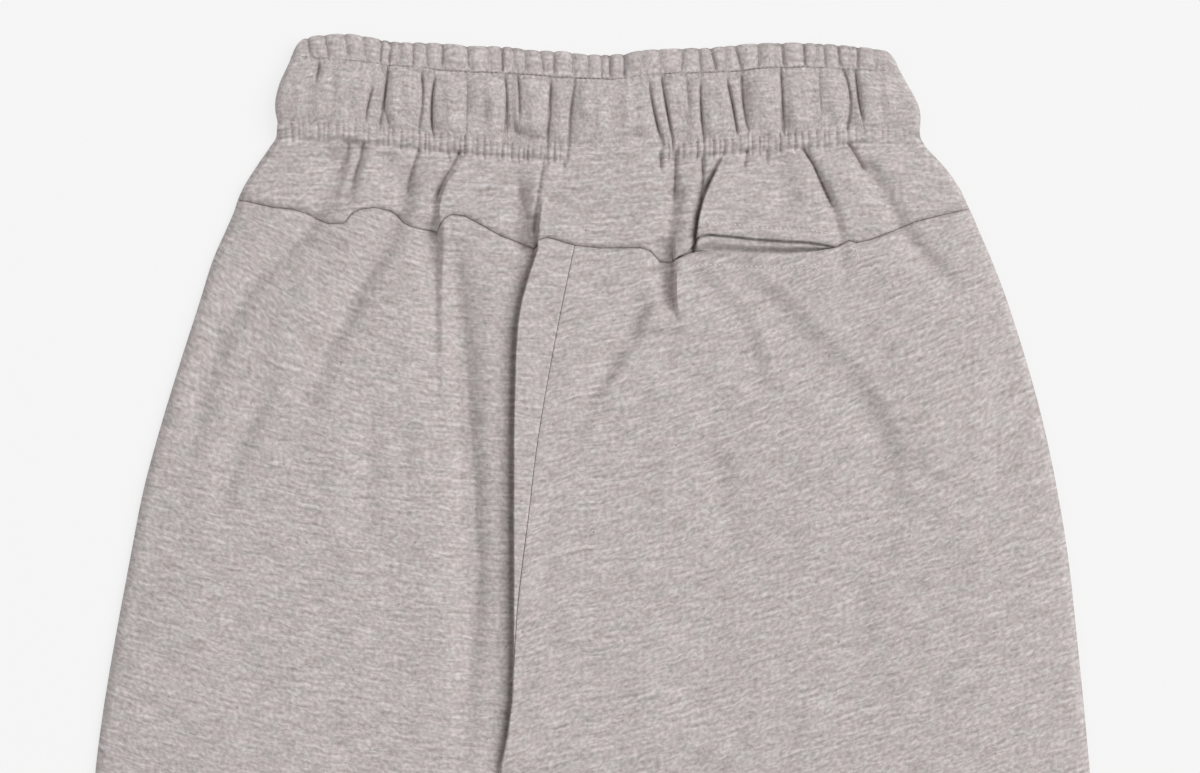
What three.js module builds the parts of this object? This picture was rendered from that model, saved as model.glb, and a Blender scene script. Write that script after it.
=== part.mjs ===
// Jogger sweatpants in heather grey sweatshirt fleece, laid flat on their front with the back showing:
// a gathered elastic waistband, a back yoke, a pocket mouth in the yoke seam, two back panels lying on
// two front panels, and two ribbed cuffs.
//
// Frame: millimetres, +Z up from the surface, +Y towards the waist, +X to the right of someone looking
// down on the back. The origin is the middle of the footprint, on the surface.
// "Drop" is the distance down the garment from the highest point of the waistband's edge.
import * as THREE from "three";

// Driving dimensions.
const LENGTH = 1040; // waistband edge to the end of the cuffs
const CLOTH = 1.8; // fleece thickness
const SEAM = 0.3; // gap between two pieces at a seam
const LOFT = 3; // air under the back panels, away from their edges
const EDGE_ROLL = 26; // distance over which the back rises from its edge
const NOTCH = { x: -40, drop: 415 }; // crotch, where the legs part
const HEM_DROP = 975; // where the legs are sewn to the cuffs

const BAND_HEIGHT = 46.5; // waistband edge to the yoke
const HEADER = 11.5; // frill above the upper row of elastic stitching
const BAND_END = 5; // radius of the waistband's two side folds
const BAND_GAP = 1.2; // between the back and front of the waistband
const BAND_TOP = 9.6; // height of the waistband at its rows of stitching
const CHANNEL_PUFF = 2; // how far the cloth puffs between the rows
const SHIRRING = 7.3; // stitched strip of the yoke under the waistband
const SHIRRING_RISE = 1.1; // height of its small gathers, one at every second column of the yoke

const CUFF = { offset: 150, width: 106, top: 8.6, wall: 3.8, end: 4, ribs: 25, ribRise: 0.7 };

// Outline of the body below the waistband: the two side edges at each drop.
const SIDES = [
  { drop: 45, left: -163, right: 168 },
  { drop: 54, left: -162.4, right: 170.6 },
  { drop: 61, left: -167, right: 175.4 },
  { drop: 74, left: -175.8, right: 186 },
  { drop: 87, left: -183.6, right: 195 },
  { drop: 108, left: -191.6, right: 203.8 },
  { drop: 142, left: -204.4, right: 216.8 },
  { drop: 173, left: -215, right: 227.4 },
  { drop: 204, left: -225, right: 236 },
  { drop: 236, left: -233.2, right: 242 },
  { drop: 272, left: -241, right: 247.4 },
  { drop: 314, left: -248.8, right: 252 },
  { drop: 350, left: -254.8, right: 255.6 },
  { drop: 383, left: -259, right: 258.6 },
  { drop: 425, left: -262, right: 262 },
  { drop: 500, left: -259, right: 260 },
  { drop: 600, left: -250, right: 251 },
  { drop: 700, left: -240, right: 241 },
  { drop: 800, left: -230, right: 231 },
  { drop: 900, left: -221, right: 221 },
  { drop: 945, left: -217, right: 217 },
  { drop: 965, left: -211, right: 211 },
  { drop: 975, left: -203, right: 203 },
];

// Inner edges of the legs below the crotch.
const INSEAMS = [
  { drop: 415, left: -40, right: -40 },
  { drop: 430, left: -46, right: -30 },
  { drop: 500, left: -57, right: 2 },
  { drop: 600, left: -66, right: 27 },
  { drop: 700, left: -73, right: 46 },
  { drop: 800, left: -79, right: 62 },
  { drop: 900, left: -84, right: 77 },
  { drop: 945, left: -87, right: 84 },
  { drop: 965, left: -91, right: 90 },
  { drop: 975, left: -97, right: 97 },
];

// Centre-back seam, from the yoke to the crotch.
const CENTRE_BACK = [
  { drop: 95, x: -6 },
  { drop: 108, x: -9.4 },
  { drop: 160, x: -20 },
  { drop: 210, x: -28.6 },
  { drop: 250, x: -33.4 },
  { drop: 293, x: -37.6 },
  { drop: 335, x: -40.6 },
  { drop: 383, x: -47.6 },
  { drop: 400, x: -46 },
  { drop: 415, x: -40 },
];

// Sag of the waistband's straight seams, and the line of its frilled edge.
const SAG = [
  { x: -165, drop: -1 },
  { x: -129, drop: 0.8 },
  { x: -74, drop: 6 },
  { x: -48, drop: 8.6 },
  { x: -9, drop: 11.2 },
  { x: 32, drop: 10.7 },
  { x: 56, drop: 9.1 },
  { x: 87, drop: 5.5 },
  { x: 113, drop: 1.9 },
  { x: 139, drop: -0.2 },
  { x: 171, drop: -2.3 },
];
const FRILL_EDGE = [
  { x: -156, drop: 10 },
  { x: -152, drop: 3.6 },
  { x: -147, drop: 0.8 },
  { x: -133, drop: 0 },
  { x: -113, drop: 1.6 },
  { x: -90, drop: 4.4 },
  { x: -64, drop: 6.2 },
  { x: -28, drop: 9.6 },
  { x: 3.6, drop: 10.7 },
  { x: 19, drop: 9.9 },
  { x: 45, drop: 6.2 },
  { x: 87, drop: 4.2 },
  { x: 108, drop: 3.1 },
  { x: 134, drop: 3.6 },
  { x: 149, drop: 6.2 },
  { x: 156, drop: 9.4 },
  { x: 160, drop: 15 },
];
const BAND_SIDES = [
  { down: 0, left: -155, right: 158.5 },
  { down: 12, left: -156, right: 159 },
  { down: 19, left: -159, right: 162 },
  { down: 30, left: -163, right: 167.4 },
  { down: 38, left: -164, right: 169.4 },
  { down: 46.5, left: -162.4, right: 168.6 },
];

// Seam between the yoke and the back panels. The two edges part at the pocket mouth.
const YOKE_SEAM = [
  { x: -183.6, yoke: 86.8, panel: 86.8 },
  { x: -172, yoke: 90, panel: 90 },
  { x: -160, yoke: 91.5, panel: 91.5 },
  { x: -152.4, yoke: 94.6, panel: 94.6 },
  { x: -146, yoke: 97, panel: 97 },
  { x: -129, yoke: 96.8, panel: 96.8 },
  { x: -125.3, yoke: 92.6, panel: 92.6 },
  { x: -121, yoke: 90, panel: 90 },
  { x: -113.4, yoke: 88.9, panel: 88.9 },
  { x: -105.6, yoke: 89.7, panel: 89.7 },
  { x: -100.4, yoke: 93.1, panel: 93.1 },
  { x: -95.2, yoke: 97, panel: 97 },
  { x: -81, yoke: 99.2, panel: 99.2 },
  { x: -77.6, yoke: 94.6, panel: 94.6 },
  { x: -73.3, yoke: 92.6, panel: 92.6 },
  { x: -66.6, yoke: 93.1, panel: 93.1 },
  { x: -58.8, yoke: 96.7, panel: 96.7 },
  { x: -48.4, yoke: 103, panel: 103 },
  { x: -38, yoke: 107.1, panel: 107.1 },
  { x: -30.4, yoke: 110.2, panel: 110.2 },
  { x: -27.4, yoke: 106, panel: 106 },
  { x: -23, yoke: 104.5, panel: 104.5 },
  { x: -17, yoke: 105.6, panel: 105.6 },
  { x: -9.4, yoke: 108.2, panel: 108.2 },
  { x: 3.6, yoke: 109.2, panel: 109.2 },
  { x: 24.4, yoke: 109.2, panel: 109.2 },
  { x: 29.6, yoke: 110.8, panel: 110.8 },
  { x: 34.8, yoke: 116, panel: 116 },
  { x: 41, yoke: 117, panel: 117 },
  { x: 48.4, yoke: 112.4, panel: 113.4 },
  { x: 52.4, yoke: 108.2, panel: 112.2 },
  { x: 54.6, yoke: 104.4, panel: 111.8 },
  { x: 59.3, yoke: 102.7, panel: 111.4 },
  { x: 72.3, yoke: 103.8, panel: 111.8 },
  { x: 84.2, yoke: 105.2, panel: 112.3 },
  { x: 98.3, yoke: 106.1, panel: 112.8 },
  { x: 112.8, yoke: 106.9, panel: 111.8 },
  { x: 120, yoke: 108.2, panel: 110.8 },
  { x: 125.8, yoke: 109.4, panel: 109.5 },
  { x: 132.6, yoke: 106, panel: 106 },
  { x: 136.8, yoke: 107.1, panel: 107.1 },
  { x: 144, yoke: 105.6, panel: 105.6 },
  { x: 155.5, yoke: 101.1, panel: 101.1 },
  { x: 167.4, yoke: 96.2, panel: 96.2 },
  { x: 179.4, yoke: 93.1, panel: 93.1 },
  { x: 196, yoke: 89.2, panel: 89.2 },
];
// Places across the garment that lie on one line down the yoke: the pleats lean a little.
const YOKE_LEAN = [
  { seam: -183.6, band: -162.9 },
  { seam: -81, band: -70 },
  { seam: -30.4, band: -33 },
  { seam: 41, band: 43 },
  { seam: 52.4, band: 62 },
  { seam: 125.8, band: 114 },
  { seam: 196, band: 168.4 },
];
const FACING = { from: 50, to: 128, top: 100, bottom: 119, thickness: 1.3, below: 1.2 };

// Folds of the back, each along a line of points [x, drop]. A valley is "depth" deep. An overlap has
// its valley on the left and a rolled edge "rise" high on the right, which dies away over "reach".
const FOLDS = [
  { fold: "hip valley", depth: 1.8, width: 9, path: [[-133, 58], [-139, 93], [-171, 160]] },
  { fold: "hip crease", depth: 2, width: 4.5, path: [[-113, 57], [-119, 78], [-127, 98]] },
  { fold: "pleat arm", depth: 2.2, width: 4, path: [[-83, 60], [-86, 74], [-88, 92]] },
  {
    fold: "outer pleat", depth: 2.6, width: 4.5, rise: 2.6, reach: 26,
    path: [[-67, 57], [-69.5, 65], [-76, 79], [-80, 99], [-81, 137], [-81, 200], [-79, 290]],
  },
  { fold: "pleat trough", depth: 1.6, width: 8, path: [[-64, 170], [-61, 251], [-59, 319], [-60, 420]] },
  {
    fold: "roll trough", depth: 2.6, width: 7,
    path: [[-37, 58], [-37, 85], [-38, 108], [-46, 160], [-48, 280], [-52, 380]],
  },
  {
    fold: "centre roll", depth: 1.2, width: 6, rise: 7.5, reach: 46,
    path: [
      [-33, 56], [-31, 85], [-31, 108], [-37, 137], [-40.6, 168], [-42, 210], [-42, 300], [-45.8, 355],
      [-51, 383], [-52, 402],
    ],
  },
  {
    fold: "seat crease", depth: 3, width: 4,
    path: [[42, 58], [42.6, 82], [40, 111], [39, 124], [40, 143], [42, 156]],
  },
  { fold: "pocket pleat arm", depth: 1.6, width: 3.5, path: [[55.6, 60], [55, 78], [53, 100]] },
  {
    fold: "pocket pleat", depth: 2, width: 4, rise: 4, reach: 34,
    path: [[68, 56], [60, 74], [55.6, 90], [52.6, 112]],
  },
  { fold: "pocket end crease", depth: 2.2, width: 4, path: [[111, 57], [117, 69], [122.4, 81], [125.6, 96]] },
  {
    fold: "right hip crease", depth: 2, width: 7,
    path: [[130, 56], [138, 66], [145, 77], [155, 93], [173, 122]],
  },
  {
    fold: "seat diagonal", depth: 2.2, width: 12,
    path: [[76, 130], [102, 158], [128, 181], [147, 204], [161, 236]],
  },
  { fold: "seat spread", depth: 1.8, width: 10, path: [[37, 143], [17, 163], [-2, 189], [-10, 215]] },
  { fold: "left knee", depth: 1.6, width: 16, path: [[-216, 590], [-170, 625], [-110, 640]] },
  { fold: "right knee", depth: 1.6, width: 16, path: [[232, 600], [180, 640], [90, 650]] },
  { fold: "left shin", depth: 1.4, width: 13, path: [[-190, 760], [-150, 800], [-105, 810]] },
  { fold: "right shin", depth: 1.4, width: 13, path: [[205, 770], [160, 805], [95, 820]] },
];

// Waistband creases between its rows of stitching: place at the upper and lower row, and depth.
const CHANNEL_CREASES = [
  { upper: -142, lower: -144, depth: 1.2 },
  { upper: -106.5, lower: -110, depth: 2.4 },
  { upper: -113, lower: -118, depth: 1.4 },
  { upper: -88, lower: -90.5, depth: 1.8 },
  { upper: -81.5, lower: -83.5, depth: 2.4 },
  { upper: -65.5, lower: -66, depth: 1 },
  { upper: -45.5, lower: -46.5, depth: 2.4 },
  { upper: -38.5, lower: -38, depth: 1.4 },
  { upper: -21.5, lower: -23.5, depth: 2.4 },
  { upper: -10, lower: -12.5, depth: 1.4 },
  { upper: 30, lower: 36.5, depth: 2.2 },
  { upper: 36, lower: 41, depth: 2.4 },
  { upper: 48.5, lower: 50.5, depth: 1 },
  { upper: 55.5, lower: 57.5, depth: 1.8 },
  { upper: 69.5, lower: 74.5, depth: 2 },
  { upper: 77, lower: 80.5, depth: 1.8 },
  { upper: 98, lower: 99, depth: 2.4 },
  { upper: 117, lower: 118, depth: 1 },
  { upper: 132, lower: 132.5, depth: 2.2 },
  { upper: 137, lower: 140, depth: 2 },
];
const FRILL_CREASES = [
  -148, -139.4, -129, -119.6, -109.7, -105, -99.8, -93.6, -86.8, -78, -65.5, -55, -47.3, -41.6, -35.4,
  -27.6, -20.3, -10.9, -2.6, 4.2, 8.6, 16.1, 25, 33.8, 46.3, 55.1, 62.4, 68.1, 75.4, 85.3, 94.1, 98,
  109.2, 115.4, 119.6, 127.4, 133.1, 137.3, 145.6,
];
const FRILL_DEPTH = 1.5;
const CREASE_WIDTH = 2.6;
const FLAT_PANEL = { from: -13, to: 33 }; // stretch of the waistband that has no shirring

const clamp = THREE.MathUtils.clamp;
const lerp = THREE.MathUtils.lerp;
const ease = (t) => THREE.MathUtils.smoothstep(t, 0, 1);
const bell = (t) => Math.exp(-t * t);

// A smooth function through a table's rows, from one named column to another.
function through(rows, from, to) {
  const slope = rows.map((row, i) => {
    const before = rows[Math.max(i - 1, 0)];
    const after = rows[Math.min(i + 1, rows.length - 1)];
    return (after[to] - before[to]) / (after[from] - before[from]);
  });
  return (at) => {
    const t = clamp(at, rows[0][from], rows.at(-1)[from]);
    let i = rows.findIndex((row) => row[from] >= t);
    i = Math.max(i, 1);
    const low = rows[i - 1];
    const high = rows[i];
    const span = high[from] - low[from];
    const s = (t - low[from]) / span;
    const s2 = s * s;
    const s3 = s2 * s;
    return (
      low[to] * (2 * s3 - 3 * s2 + 1) + high[to] * (3 * s2 - 2 * s3) +
      span * (slope[i - 1] * (s3 - 2 * s2 + s) + slope[i] * (s3 - s2))
    );
  };
}

// A function of straight stretches through a table's rows.
function straight(rows, from, to) {
  return (at) => {
    const t = clamp(at, rows[0][from], rows.at(-1)[from]);
    const i = Math.max(rows.findIndex((row) => row[from] >= t), 1);
    const s = (t - rows[i - 1][from]) / (rows[i][from] - rows[i - 1][from]);
    return lerp(rows[i - 1][to], rows[i][to], s);
  };
}

const sideLeft = through(SIDES, "drop", "left");
const sideRight = through(SIDES, "drop", "right");
const inseamLeft = through(INSEAMS, "drop", "left");
const inseamRight = through(INSEAMS, "drop", "right");
const centreBack = through(CENTRE_BACK, "drop", "x");
const sag = through(SAG, "x", "drop");
const frillEdge = through(FRILL_EDGE, "x", "drop");
const bandLeft = through(BAND_SIDES, "down", "left");
const bandRight = through(BAND_SIDES, "down", "right");
const yokeEdge = straight(YOKE_SEAM, "x", "yoke");
const panelEdge = straight(YOKE_SEAM, "x", "panel");

const place = (x, drop, z) => new THREE.Vector3(x, LENGTH / 2 - drop, z);
const span = (from, to, count) => Array.from({ length: count + 1 }, (_, i) => lerp(from, to, i / count));

// Nearest point of a fold's line: distance across it, positive on its right, and share of its length.
function nearest(path, x, drop) {
  let best = { distance: Infinity, along: 0 };
  const last = path.length - 1;
  for (let i = 0; i < last; i++) {
    const [x0, d0] = path[i];
    const dx = path[i + 1][0] - x0;
    const dd = path[i + 1][1] - d0;
    const t = clamp(((x - x0) * dx + (drop - d0) * dd) / (dx * dx + dd * dd), 0, 1);
    const ax = x - x0 - t * dx;
    const ad = drop - d0 - t * dd;
    const distance = Math.hypot(ax, ad);
    if (distance < Math.abs(best.distance)) {
      const right = ax * dd - ad * dx >= 0 ? 1 : -1;
      best = { distance: right * distance, along: (i + t) / last };
    }
  }
  return best;
}

function foldHeight({ path, depth, width, rise = 0, reach = 1 }, x, drop) {
  const { distance, along } = nearest(path, x, drop);
  const fade = ease(along / 0.08) * ease((1 - along) / 0.3);
  const valley = -depth * bell(distance / width);
  const roll = distance > 0 ? rise * ease(distance / width) * Math.exp(-distance / reach) : 0;
  return fade * (valley + roll);
}

// Distance to the nearest edge of the lay, and the air under the back at that place.
function toEdge(x, drop) {
  const sides = [x - sideLeft(drop), sideRight(drop) - x];
  if (drop > NOTCH.drop) sides.push(x < NOTCH.x ? inseamLeft(drop) - x : Math.abs(x - inseamRight(drop)));
  return Math.max(Math.min(...sides), 0);
}

function loft(x, drop) {
  const rise = Math.sin((Math.PI / 2) * Math.min(toEdge(x, drop) / EDGE_ROLL, 1));
  const seat = 1.6 * bell((drop - 72) / 16);
  const blouse = 1.6 * bell((drop - 955) / 16) * (1 + Math.cos((2 * Math.PI * x) / 13));
  let height = LOFT + seat + blouse;
  for (const fold of FOLDS) height += foldHeight(fold, x, drop);
  return Math.max(height * rise, 0);
}

// One closed wall between an outer and an inner grid of points. "around" joins the last column to the first.
function wall(outer, inner, around = false) {
  const rows = outer.length;
  const columns = outer[0].length;
  const points = [...outer.flat(), ...inner.flat()];
  const index = [];
  const at = (layer, i, j) => (layer * rows + i) * columns + (j % columns);
  const face = (a, b, c, d) => index.push(a, b, c, a, c, d);
  const steps = around ? columns : columns - 1;
  for (let j = 0; j < steps; j++) {
    for (let i = 0; i < rows - 1; i++) {
      face(at(0, i, j), at(0, i + 1, j), at(0, i + 1, j + 1), at(0, i, j + 1));
      face(at(1, i, j), at(1, i, j + 1), at(1, i + 1, j + 1), at(1, i + 1, j));
    }
    face(at(0, 0, j), at(0, 0, j + 1), at(1, 0, j + 1), at(1, 0, j));
    const end = rows - 1;
    face(at(0, end, j), at(1, end, j), at(1, end, j + 1), at(0, end, j + 1));
  }
  if (!around) {
    const edge = columns - 1;
    for (let i = 0; i < rows - 1; i++) {
      face(at(0, i, 0), at(1, i, 0), at(1, i + 1, 0), at(0, i + 1, 0));
      face(at(0, i, edge), at(0, i + 1, edge), at(1, i + 1, edge), at(1, i, edge));
    }
  }
  const geometry = new THREE.BufferGeometry().setFromPoints(points);
  geometry.setIndex(index);
  return geometry;
}

// A cloth wall over a grid of [x, drop, gather] places, resting on the lower layer with the loft between.
// A gather adds to the outer face only.
function drapedWall(grid) {
  const h = 0.5;
  const outer = grid.map((row) => row.map(([x, drop, gather = 0]) => {
    const slopeX = (loft(x + h, drop) - loft(x - h, drop)) / (2 * h);
    const slopeD = (loft(x, drop + h) - loft(x, drop - h)) / (2 * h);
    const lean = Math.min(Math.hypot(1, slopeX, slopeD), 2);
    return place(x, drop, CLOTH + SEAM + loft(x, drop) + CLOTH * lean + gather);
  }));
  const inner = grid.map((row) => row.map(([x, drop]) => place(x, drop, CLOTH + SEAM + loft(x, drop))));
  return wall(outer, inner);
}

// Height of the waistband's outer face at a place across it and a distance down it.
function bandHeight(x, down) {
  const inFrill = down < HEADER;
  const puff = inFrill ? 0.4 : CHANNEL_PUFF;
  const share = inFrill ? down / HEADER : (down - HEADER) / (BAND_HEIGHT - HEADER);
  let height = BAND_TOP - (inFrill ? 1.6 * (1 - share) : 0) + puff * Math.sin(Math.PI * share);
  if (inFrill) {
    for (const crease of FRILL_CREASES) height -= FRILL_DEPTH * bell((x - crease) / (CREASE_WIDTH * 0.8));
  } else {
    const mid = Math.sin(Math.PI * share) ** 0.6;
    for (const { upper, lower, depth } of CHANNEL_CREASES) {
      height -= mid * depth * bell((x - lerp(upper, lower, share)) / CREASE_WIDTH);
    }
  }
  return height;
}

// A flattened tube: stations across its top, a round fold at each side, and a flat underside. Its
// hollow is a slit "gap" high at the height of the folds' radius.
function flatTube({ rows, left, right, drop, top, radius, gap, stations }) {
  const FOLD_STEPS = 4;
  const UNDER_STEPS = 12;
  const outer = [];
  const inner = [];
  for (const row of rows) {
    const from = left(row) + radius;
    const to = right(row) - radius;
    const outerRow = [];
    const innerRow = [];
    const add = (x, zOuter, xInner, zInner) => {
      outerRow.push(place(x, drop(x, row), zOuter));
      innerRow.push(place(xInner, drop(xInner, row), zInner));
    };
    const fold = (centre, turn, height) => {
      for (let k = 1; k < FOLD_STEPS; k++) {
        const across = Math.cos(turn(k / FOLD_STEPS));
        const up = Math.sin(turn(k / FOLD_STEPS));
        const zOuter = (height / 2) * (1 + up);
        add(centre + radius * across, zOuter, centre + (gap / 2) * across, radius + (gap / 2) * up);
      }
    };
    for (const share of stations) {
      const x = lerp(from, to, share);
      add(x, top(x, row), x, radius + gap / 2);
    }
    fold(to, (t) => Math.PI * (0.5 - t), top(to, row));
    for (const share of span(1, 0, UNDER_STEPS)) {
      const x = lerp(from, to, share);
      add(x, 0, x, radius - gap / 2);
    }
    fold(from, (t) => Math.PI * (1.5 - t), top(from, row));
    outer.push(outerRow);
    inner.push(innerRow);
  }
  return wall(outer, inner, true);
}

function waistband() {
  const reach = { from: BAND_SIDES[0].left + BAND_END, to: BAND_SIDES[0].right - BAND_END };
  const share = (x) => (x - reach.from) / (reach.to - reach.from);
  const marks = FRILL_CREASES.map(share);
  const ridges = marks.slice(1).map((mark, i) => (mark + marks[i]) / 2);
  const creases = CHANNEL_CREASES.map(({ upper, lower }) => share((upper + lower) / 2));
  const close = (a, b) => Math.abs(a - b) < 0.006;
  const stations = [0, ...marks, ...ridges, 1];
  for (const crease of creases) if (!stations.some((s) => close(s, crease))) stations.push(crease);
  stations.sort((a, b) => a - b);
  return flatTube({
    rows: [0, 1.6, 6.5, HEADER, 17, 29, 40, BAND_HEIGHT],
    left: bandLeft,
    right: bandRight,
    drop: (x, down) => {
      const seam = sag(x) + down;
      return down < HEADER ? lerp(Math.max(frillEdge(x), 0), sag(x) + HEADER, down / HEADER) : seam;
    },
    top: bandHeight,
    radius: BAND_END,
    gap: BAND_GAP,
    stations,
  });
}

function cuff(centre) {
  const { width, top, wall: thick, end, ribs, ribRise } = CUFF;
  const stations = span(0, 1, 2 * ribs);
  return flatTube({
    rows: [HEM_DROP + SEAM, HEM_DROP + 6, LENGTH - 6, LENGTH],
    left: () => centre - width / 2,
    right: () => centre + width / 2,
    drop: (_, down) => down,
    top: (x) => {
      const share = (x - centre + width / 2 - end) / (width - 2 * end);
      const onRib = Math.round(share * 2 * ribs) % 2;
      return top - (onRib ? 0 : ribRise);
    },
    radius: end,
    gap: top - ribRise - 2 * thick,
    stations,
  });
}

// The yoke: its columns run from even steps at the waistband to the seam's own points.
function yoke() {
  const bandDrop = (x) => sag(x) + BAND_HEIGHT + SEAM;
  const seamX = YOKE_SEAM.map((row) => row.x);
  const middles = seamX.slice(1).map((x, i) => (x + seamX[i]) / 2);
  const across = [...seamX, ...middles].sort((a, b) => a - b);
  const ends = YOKE_LEAN.map(({ seam }) => across.indexOf(seam));
  const bandX = across.map((_, j) => {
    const k = Math.max(ends.findIndex((end) => end >= j), 1);
    return lerp(YOKE_LEAN[k - 1].band, YOKE_LEAN[k].band, (j - ends[k - 1]) / (ends[k] - ends[k - 1]));
  });
  const last = across.length - 1;
  const shares = [0, 0.09, 0.18, 0.32, 0.48, 0.64, 0.82, 1];
  const grid = shares.map((share) => across.map((x, j) => {
    const drop = lerp(bandDrop(bandX[j]), yokeEdge(x) - SEAM / 2, share);
    const toSide = j < last / 2 ? sideLeft(drop) - lerp(bandX[0], across[0], share)
      : sideRight(drop) - lerp(bandX[last], across[last], share);
    const near = Math.abs((2 * j) / last - 1) ** 2 * (1 - share ** 4);
    const at = lerp(bandX[j], x, share) + toSide * near;
    const onFlat = at > FLAT_PANEL.from && at < FLAT_PANEL.to;
    const inStrip = share > 0 && share < 0.18 && !onFlat;
    return [at, drop, inStrip && j % 2 === 0 && j > 0 && j < last ? SHIRRING_RISE : 0];
  }));
  return drapedWall(grid);
}

// Grid of a back panel, from its points on the yoke seam down to the cuff.
function backPanel(isLeft) {
  const seamX = YOKE_SEAM.map((row) => row.x).filter((x) => (isLeft ? x <= -9.4 : x >= -9.4));
  const outerEdge = isLeft ? sideLeft : sideRight;
  const innerEdge = (drop) => {
    if (drop > NOTCH.drop) return isLeft ? inseamLeft(drop) : inseamRight(drop);
    return centreBack(drop) + (isLeft ? -SEAM / 2 : SEAM / 2);
  };
  // Lines that the columns keep to: side edge, folds, centre seam.
  const lines = isLeft
    ? [
        { share: 0, at: outerEdge },
        { share: 0.6, at: (d) => lerp(-80, lerp(outerEdge(d), innerEdge(d), 0.6), ease((d - 250) / 200)) },
        { share: 0.89, at: (d) => lerp(centreBack(d) - 18, innerEdge(d) - 8, ease((d - 108) / 90)) },
        { share: 1, at: innerEdge },
      ]
    : [
        { share: 0, at: innerEdge },
        { share: 1, at: outerEdge },
      ];
  const first = seamX[0];
  const last = seamX.at(-1);
  const shares = seamX.map((x) => (x - first) / (last - first));
  const columnAt = (share, drop) => {
    const k = Math.max(lines.findIndex((line) => line.share >= share), 1);
    const low = lines[k - 1];
    const high = lines[k];
    return lerp(low.at(drop), high.at(drop), (share - low.share) / (high.share - low.share));
  };
  const drops = [
    118, 130, 144, 160, 178, 198, 220, 244, 270, 297, 324, 350, 373, 392, 405, NOTCH.drop, 425, 450, 500,
    560, 600, 640, 690, 740, 790, 830, 880, 920, 942, 955, 965, HEM_DROP,
  ];
  const grid = [seamX.map((x, j) => {
    const inset = x === -9.4 ? (isLeft ? -SEAM / 2 : SEAM / 2) : 0;
    return [seamX[j] + inset, panelEdge(x) + SEAM / 2];
  })];
  drops.forEach((drop) => {
    const wave = 1 - ease((drop - 112) / 60);
    grid.push(shares.map((share, j) => {
      const seamDrop = panelEdge(seamX[j]);
      const d = drop + wave * (seamDrop - 104);
      const x = columnAt(share, d);
      return [x + wave ** 2 * (seamX[j] - columnAt(share, seamDrop)), d];
    }));
  });
  return drapedWall(grid);
}

// Flat lower layer: the outline of one front panel, from the waistband to the cuff.
function frontPanel(isLeft) {
  const side = isLeft ? sideLeft : sideRight;
  const inseam = isLeft ? inseamLeft : inseamRight;
  const away = isLeft ? -1 : 1;
  const bandDrop = (x) => sag(x) + BAND_HEIGHT + SEAM;
  const outline = [];
  const add = (x, drop) => outline.push(new THREE.Vector2(x, LENGTH / 2 - drop));
  const top = span((away * SEAM) / 2, side(BAND_HEIGHT), 14);
  for (const x of top) add(x, bandDrop(x));
  for (const { drop } of SIDES.slice(1)) add(side(drop), drop);
  for (const { drop } of [...INSEAMS].reverse()) {
    if (drop > NOTCH.drop) add(inseam(drop), drop);
  }
  add(NOTCH.x + (away * SEAM) / 2, NOTCH.drop);
  const shape = new THREE.Shape(outline);
  return new THREE.ExtrudeGeometry(shape, { depth: CLOTH, bevelEnabled: false });
}

// Strip of pocket cloth that shows in the mouth, hanging just under the yoke.
function pocketFacing() {
  const across = YOKE_SEAM.map((row) => row.x).filter((x) => x >= FACING.from && x <= FACING.to);
  const down = span(FACING.top, FACING.bottom, 4);
  const under = (x, drop) => CLOTH + SEAM + loft(x, drop) - FACING.below;
  const outer = down.map((drop) => across.map((x) => place(x, drop, under(x, drop))));
  const inner = down.map((drop) => across.map((x) => place(x, drop, under(x, drop) - FACING.thickness)));
  return wall(outer, inner);
}

const fleece = new THREE.MeshStandardMaterial({ color: 0xb5aca9, roughness: 0.95, metalness: 0 });
const rib = new THREE.MeshStandardMaterial({ color: 0xaaa19e, roughness: 0.95, metalness: 0 });

const garment = new THREE.Group();
function piece(name, geometry, material = fleece) {
  const mesh = new THREE.Mesh(geometry, material.clone());
  mesh.name = name;
  garment.add(mesh);
}

piece("waistband", waistband());
piece("back_yoke", yoke());
piece("back_panel_left", backPanel(true));
piece("back_panel_right", backPanel(false));
piece("pocket_facing", pocketFacing());
piece("front_panel_left", frontPanel(true));
piece("front_panel_right", frontPanel(false));
piece("cuff_left", cuff(-CUFF.offset), rib);
piece("cuff_right", cuff(CUFF.offset), rib);

export default garment;
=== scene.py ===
# %% [markdown]
# These jogger sweatpants lie flat on their front, so that the back shows. The solids of the frame say
# where each cut piece lies. This script lays finer cloth over them: one thin slab of quads for each
# piece, moved point by point with the same measurements that a tailor would take off the garment.
# Cloth could also be dropped by a simulation, but folds that are ironed and laid by hand stay where
# they were put, and a simulation would iron them out. So each fold here is a line with a depth.

# %% The frame
import math

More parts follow.
